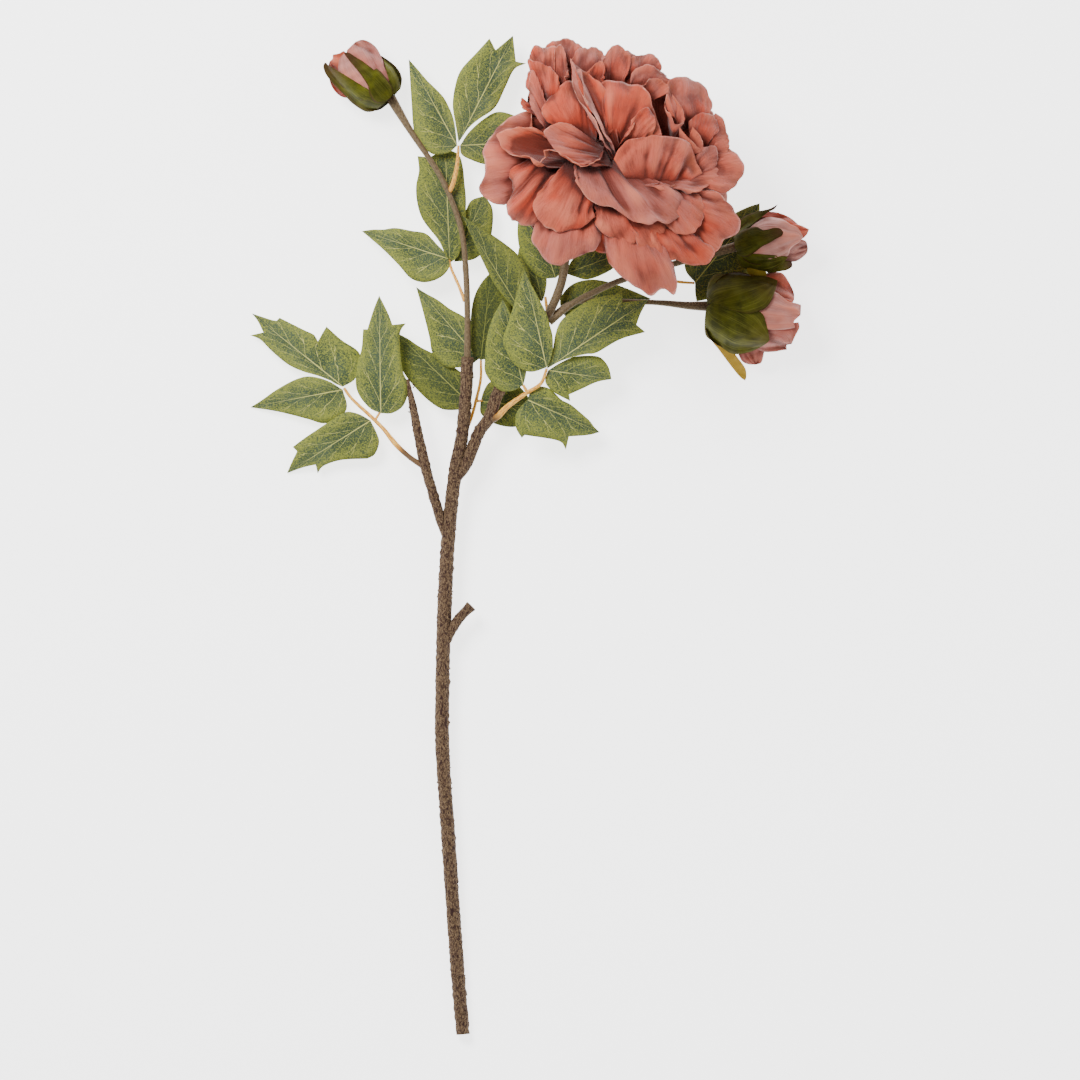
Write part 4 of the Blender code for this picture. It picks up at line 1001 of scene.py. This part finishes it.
# Parts seen from above, draped over the bud: bud, kind, base, tip, left edge, right edge, lift above the bud, tone
DRAPED = (
    ("left_bud", "sepal", (-50, 637), (-80.5, 668), ((-54, 634.5), (-60, 634.5), (-63.5, 640), (-64.6, 645.3),
        (-68, 650.8), (-71.4, 655.5), (-75.5, 660.3), (-80, 666)),
        ((-47.6, 640.5), (-48.8, 645.5), (-51.7, 649.8), (-55.8, 654.8), (-58.8, 657.2, S), (-60.5, 656.2, S),
        (-64.6, 659.3), (-68.7, 662.3), (-73.4, 665), (-77.2, 667.6)), 2.4, 1.0),
    ("left_bud", "sepal", (-51.7, 635), (-94.2, 661),
        ((-55, 632.5), (-59.8, 628.9), (-63.9, 628), (-68, 628.9), (-75.5, 634.0), (-80.5, 639.2), (-86.6, 645.3),
        (-90.8, 650), (-93.6, 654.2), (-95, 658.5)),
        ((-56.4, 634.8), (-61.9, 635.4), (-70, 635.6), (-75, 636.4), (-79.5, 641.6), (-82.6, 645.8), (-86.6, 650),
        (-90, 656.2), (-93, 661)), 1.6, 0.8),
    ("left_bud", "sepal", (-47.6, 639.5), (-54.1, 663.7),
        ((-48.4, 642.6), (-49.2, 646.7), (-50, 650.8), (-51.2, 656.2), (-53.4, 661.2)),
        ((-44.6, 641.6), (-42.6, 644), (-42.2, 648), (-43.9, 651.3), (-44.9, 653.4), (-46.9, 656.9), (-51, 661)), 1.2,
        0.2),
    ("left_bud", "petal", (-55, 645), (-73, 675.5), ((-62, 645), (-68, 652), (-73, 659), (-77.5, 666), (-79, 669),
        (-77, 671.5)), ((-50.5, 648), (-50, 652), (-53.2, 657.6), (-54.4, 662.3), (-55.8, 665.7), (-57.8, 669.8),
        (-60.5, 673.2), (-64.6, 676), (-68.5, 677)), 0.4, -0.35),
    ("left_bud", "petal", (-56, 637), (-81, 667), ((-63, 634.6), (-70, 635.6), (-75.5, 637.4), (-80.2, 642.6),
        (-82.8, 648), (-84.6, 654.2), (-84.6, 659.8), (-83.4, 664.5)),
        ((-58, 642), (-62, 648), (-67, 654), (-72, 660), (-77, 665.5)), 0.0, -0.75),
    ("left_bud", "petal", (-72, 642), (-90.5, 662), ((-79, 639), (-84.5, 643), (-88.5, 648.5), (-90.6, 654),
        (-91.4, 659)), ((-74, 648), (-78, 656), (-80, 664), (-80.5, 669), (-84.3, 667.4), (-88.4, 666.6, S),
        (-87.9, 664.7)), -2.5, 0.75),
    ("left_bud", "petal", (-76, 638), (-91, 650.5), ((-80.2, 637.6), (-83.4, 638.8), (-86.8, 641.6), (-89.6, 645.8)),
        ((-79, 643), (-83, 647), (-87, 650)), -3.5, 1.0),
    ("upper_bud", "sepal", (185, 535.4), (217.7, 545.8),
        ((184.6, 541), (186, 544.7), (192.8, 548), (199.6, 549.4), (203.4, 547.3), (207.4, 547.6), (211.4, 548.6),
        (215.4, 548.2)), ((188.4, 530.4), (192.8, 529.2), (197, 531.2), (203.4, 536.1), (207.4, 538), (212.7, 541.2),
        (216.7, 543.4)), 2.2, 0.9),
    ("upper_bud", "sepal", (184.2, 541.5), (214, 564.8),
        ((183.4, 544.4), (185.5, 550.2), (191.5, 556.6), (199.4, 559.7), (207.4, 561.5), (211.4, 563.2)),
        ((187.5, 545.6), (192.8, 548.4), (196.8, 551.6), (199.8, 555.6), (205, 558.6), (211.4, 561.5)), 2.0, 0.9),
    ("upper_bud", "sepal", (186.2, 532), (220.9, 529.2),
        ((189.5, 530.6), (193, 529), (195.8, 527.2), (200.8, 525.4), (207.4, 525.6), (214, 526.9)),
        ((187, 526.5), (190, 522.6), (194.6, 520.6), (200.8, 519.4), (207.4, 519.4), (212.7, 521.4), (218, 525.4)),
        1.4, 0.15),
    ("upper_bud", "sepal", (206, 519.6), (224, 524.8), ((209, 521.6), (213, 524), (218, 526.2), (223, 526.3)),
        ((208.6, 518.2), (214, 519.2), (220.5, 520.4), (223.8, 522.6)), 0.0, 1.0),
    ("upper_bud", "sepal", (193, 521.6), (206.4, 516.4), ((197, 521), (202, 519.8), (206, 519)),
        ((194, 517.8), (198.1, 514.8), (203, 514.0)), 9, -0.4),
    ("upper_bud", "petal", (192, 537), (231, 543), ((194, 546), (196.8, 550.2), (202.1, 554), (207.4, 556.2),
        (212.7, 555.6), (218, 554.2), (223.3, 550.8), (227.6, 548.8)),
        ((193.5, 529), (198.1, 526), (204.7, 525.2), (214, 526.8), (220.9, 530), (222.4, 534.1), (225, 536.7),
        (228.8, 539.2)), 0.6, -1.0),
    ("upper_bud", "petal", (199, 549), (227.8, 551),
        ((199, 555), (202.1, 558.2), (207.4, 559.8), (214, 559.3), (220.7, 556.8), (226, 552.9)),
        ((204, 549), (212, 550), (220, 549), (226, 548)), -2.5, 1.0),
    ("upper_bud", "petal", (216, 545), (235.3, 547.8), ((219, 550), (224, 551), (229, 550.6)),
        ((222, 541), (229, 540.6), (233.4, 543.8)), -1.2, 0.55),
    ("upper_bud", "petal", (214, 534), (234.6, 535), ((218, 538.5), (223.3, 540), (228.6, 541), (233.3, 539.6)),
        ((216, 529), (220, 526), (226, 526.2), (230, 528.2), (233.9, 531.8)), -2.5, -0.5),
    ("lower_bud", "sepal", (166, 497), (214, 513), ((165.8, 503), (167.4, 512), (172.3, 517.3), (182.2, 517.2),
        (194.1, 516.2), (206.1, 515.6)), ((169.6, 498.6), (174.2, 496.8), (180.9, 493.2), (188.8, 491),
        (194.1, 490.3), (199.4, 491.5), (206.1, 494.5), (210.3, 500.9), (212.9, 508.5)), 3.2, 0.55),
    ("lower_bud", "sepal", (166.3, 495.5), (208.3, 472.6),
        ((170, 498), (178, 498), (188, 497), (196, 495), (203.5, 490), (205.6, 484.5), (207.3, 478.4)),
        ((165, 491.6), (164.4, 484), (164.6, 478.4), (166.3, 474.4), (174.2, 468.9), (180.9, 464.3), (186.2, 463),
        (194.1, 464.3), (200.8, 467), (206.4, 470.4)), 1.8, 0.35),
    ("lower_bud", "sepal", (168, 489), (192, 445.3),
        ((172, 481), (174, 474.5), (176.6, 469), (183.1, 465), (187.7, 459.8), (192.3, 453.2), (193, 447.5)),
        ((166.5, 482), (168, 474.5), (174.5, 465.8), (181.5, 456.5), (188.5, 447.9)), -13, -1.0),
    ("lower_bud", "petal", (196, 506), (225, 500), ((200, 516), (207.4, 518.2), (213, 518.8), (217.4, 518),
        (221.2, 513), (225, 505)), ((204, 500), (212.7, 502), (219, 499.6), (223.3, 497.4)), -2.0, 0.60),
    ("lower_bud", "petal", (192, 493), (229.3, 489.5),
        ((200, 503), (211.4, 505.2), (220.7, 498.9), (226, 497.6), (229.8, 496.3, S)),
        ((198, 482), (207.4, 479.6), (218, 479.6), (225.4, 480.8, S), (224.8, 485), (227.4, 487.6)), 0.8, -0.6),
    ("lower_bud", "petal", (190, 482), (223.5, 470),
        ((200, 486), (212, 483), (220, 483.4), (228, 484.6, S), (228.7, 481), (226, 475.7)),
        ((196, 470), (203.4, 465), (211, 464.6), (216.7, 465.6), (220.2, 466.0, S), (219, 468.6)), -1.0, -0.25),
    ("lower_bud", "petal", (188, 474), (198.8, 456), ((186, 468), (187.3, 463), (190, 458.3), (194.1, 456.3)),
        ((198, 474), (207.6, 469.1), (205, 464.6), (204.2, 461), (202.8, 457.2)), -4.5, 0.1),
)


def bud_height(base, axis, radius, length, lift):
    """Height of a bud's upper side over a point in plan."""
    base, axis = np.array(base, float), unit(axis)
    flat = unit(axis[:2])
    h = np.linspace(-4, length * 1.3, 60)
    low = 0.42 * length
    rounded = np.sqrt(np.clip(1 - ((low - h) / (low + 3)) ** 2, 0, 1))
    drawn_in = 1 - 0.22 * ((h - low) / (length - low)) ** 2
    r = np.where(h < low, rounded, drawn_in) * radius * 0.92

    def height(plan, s):
        run = (plan - base[:2]) @ flat
        off = abs((plan - base[:2]) @ np.array((-flat[1], flat[0])))
        reach = float(np.interp(run, h, r))
        rise = math.sqrt(max(reach * reach - off * off, 0.0)) if off < reach else -0.9 * (off - reach)
        x, y = plan
        ripple = 0.35 * math.sin(0.55 * x + 0.35 * y) + 0.25 * math.sin(0.9 * y - 0.4 * x)
        return base[2] + axis[2] * run + rise * 0.95 + lift + ripple * min(1.0, s * 2)

    return height


for number, (name, (base, axis, radius, length, cup_radius, cup_length)) in enumerate(BUDS.items()):
    seed = 700 + number * 30
    outer = ((2, 3.4), (radius * 1.02, 5), (radius * 0.62, length * 0.90))
    rolled = ((2, 4.4), (radius * 0.86, 8), (radius * 0.10, length * 0.95))
    cupped = ((2, 0.6), (cup_radius * 1.3, 1), (cup_radius * 0.95, cup_length))
    petals = [
        bud_petal(seed + k, base, axis, 72 * k + 10, 52, outer, 1.0 - 0.03 * (k % 2), 0.25 + 0.1 * (k % 3), 0.16)
        for k in range(5)
    ]
    inner = [bud_petal(seed + 20 + k, base, axis, 90 * k + 40, 62, rolled, 1.0, 0.9, 0.12) for k in range(4)]
    sepals = [
        bud_petal(seed + 40 + k, base, axis, angle, 36, cupped, 1.0, 0.8, 0.75, 0.6, 0.5, 1.5)
        for k, angle in enumerate((115, 180, 245))
    ]
    for index, (bud, kind, *outline, lift, tone) in enumerate(DRAPED):
        if bud != name:
            continue
        surface = bud_height(base, axis, radius, length, lift)
        points, uv, tone, closed = leaflet(f"{name}_{index}", (*outline, 0, 0, 0, 0, tone), 44, 9, surface)
        relief = np.zeros(points.shape[:2])
        if kind == "petal":
            local = np.random.default_rng(900 + index)
            u, v = grid(0, 1, points.shape[1], points.shape[0])
            relief = 0.55 * waves(local, u, v, 3, 0.6, 2.0) + 0.35 * waves(local, u * 2.2, v * 0.5, 3, 0.8, 2.2)
            relief *= np.clip(v * 2, 0, 1)
            points[:, :, 2] += relief
            uv = uv * (1.0, 0.45) + (0.0, 0.55)
        group = petals if kind == "petal" else sepals
        # shade value from the relief: painted shade in its hollows, painted light on its ridges
        group.append((points, uv, tone, closed, np.clip(0.5 + 0.28 * relief, 0, 1)))
    # painted shade on the bud's petals where parts stand over each other; the larger lift lightens them towards the
    # painted highlight
    crease_shade({"petals": petals, "sepals": sepals}, np.array(base), 80, 0.26)
    make_piece(f"{name}_outer_petals", petals, PETAL, f"{name}_petals", PETAL_THICKNESS)
    make_piece(f"{name}_inner_petals", inner, PETAL, f"{name}_heart", PETAL_THICKNESS)
    make_piece(f"{name}_sepals", sepals, SEPAL, f"{name}_calyx", SEPAL_THICKNESS)


# ---------------------------------------------------------------- floor, light, camera
FLOOR_HALF = 6
VIEW_MIDDLE = (52.4, 336.6, 0.0)
CAMERA_HEIGHT = 15.0
SHARP_HEIGHT = 0.03
FIELD_WIDTH = 0.7344
SENSOR_WIDTH = 36.0

corners = [(x * FLOOR_HALF, y * FLOOR_HALF, 0) for x, y in ((-1, -1), (1, -1), (1, 1), (-1, 1))]
mesh = bpy.data.meshes.new("floor")
mesh.from_pydata(corners, [], [(0, 1, 2, 3)])
s = Shader("pale_floor")
mottle = s.noise(s.place(), 3.0)
s.bump(mottle, 0.02, 0.001)
mesh.materials.append(s.finish(s.mix(mottle, (0.90, 0.90, 0.90), (0.92, 0.92, 0.92)), 0.8))
s.feed(s.main["Emission Color"], (1.0, 1.0, 1.0))
s.feed(s.main["Emission Strength"], 2.7)
link("floor", mesh)


def area_light(name, position, target, size, power):
    data = bpy.data.lights.new(name, "AREA")
    data.shape = "SQUARE"
    data.size = size
    data.energy = power
    obj = link(name, data)
    obj.location = position
    obj.rotation_euler = (Vector(target) - Vector(position)).to_track_quat("-Z", "Y").to_euler()


area_light("key", (-0.8, 1.0, 1.6), (0.0, 0.05, 0.0), 0.8, 60)
area_light("fill", (1.3, -0.6, 1.8), (0.0, 0.0, 0.0), 1.8, 14)
world = bpy.data.worlds.new("studio")
bpy.context.scene.world = world
world.use_nodes = True
background = world.node_tree.nodes["Background"].inputs
background["Color"].default_value = (1.0, 1.0, 1.0, 1.0)
background["Strength"].default_value = 0.50

camera_data = bpy.data.cameras.new("camera")
camera = link("camera", camera_data)
camera.location = (*place(VIEW_MIDDLE)[:2], CAMERA_HEIGHT)
camera_data.sensor_width = SENSOR_WIDTH
camera_data.lens = SENSOR_WIDTH * (CAMERA_HEIGHT - SHARP_HEIGHT) / FIELD_WIDTH
camera_data.clip_end = 50.0
bpy.context.scene.camera = camera
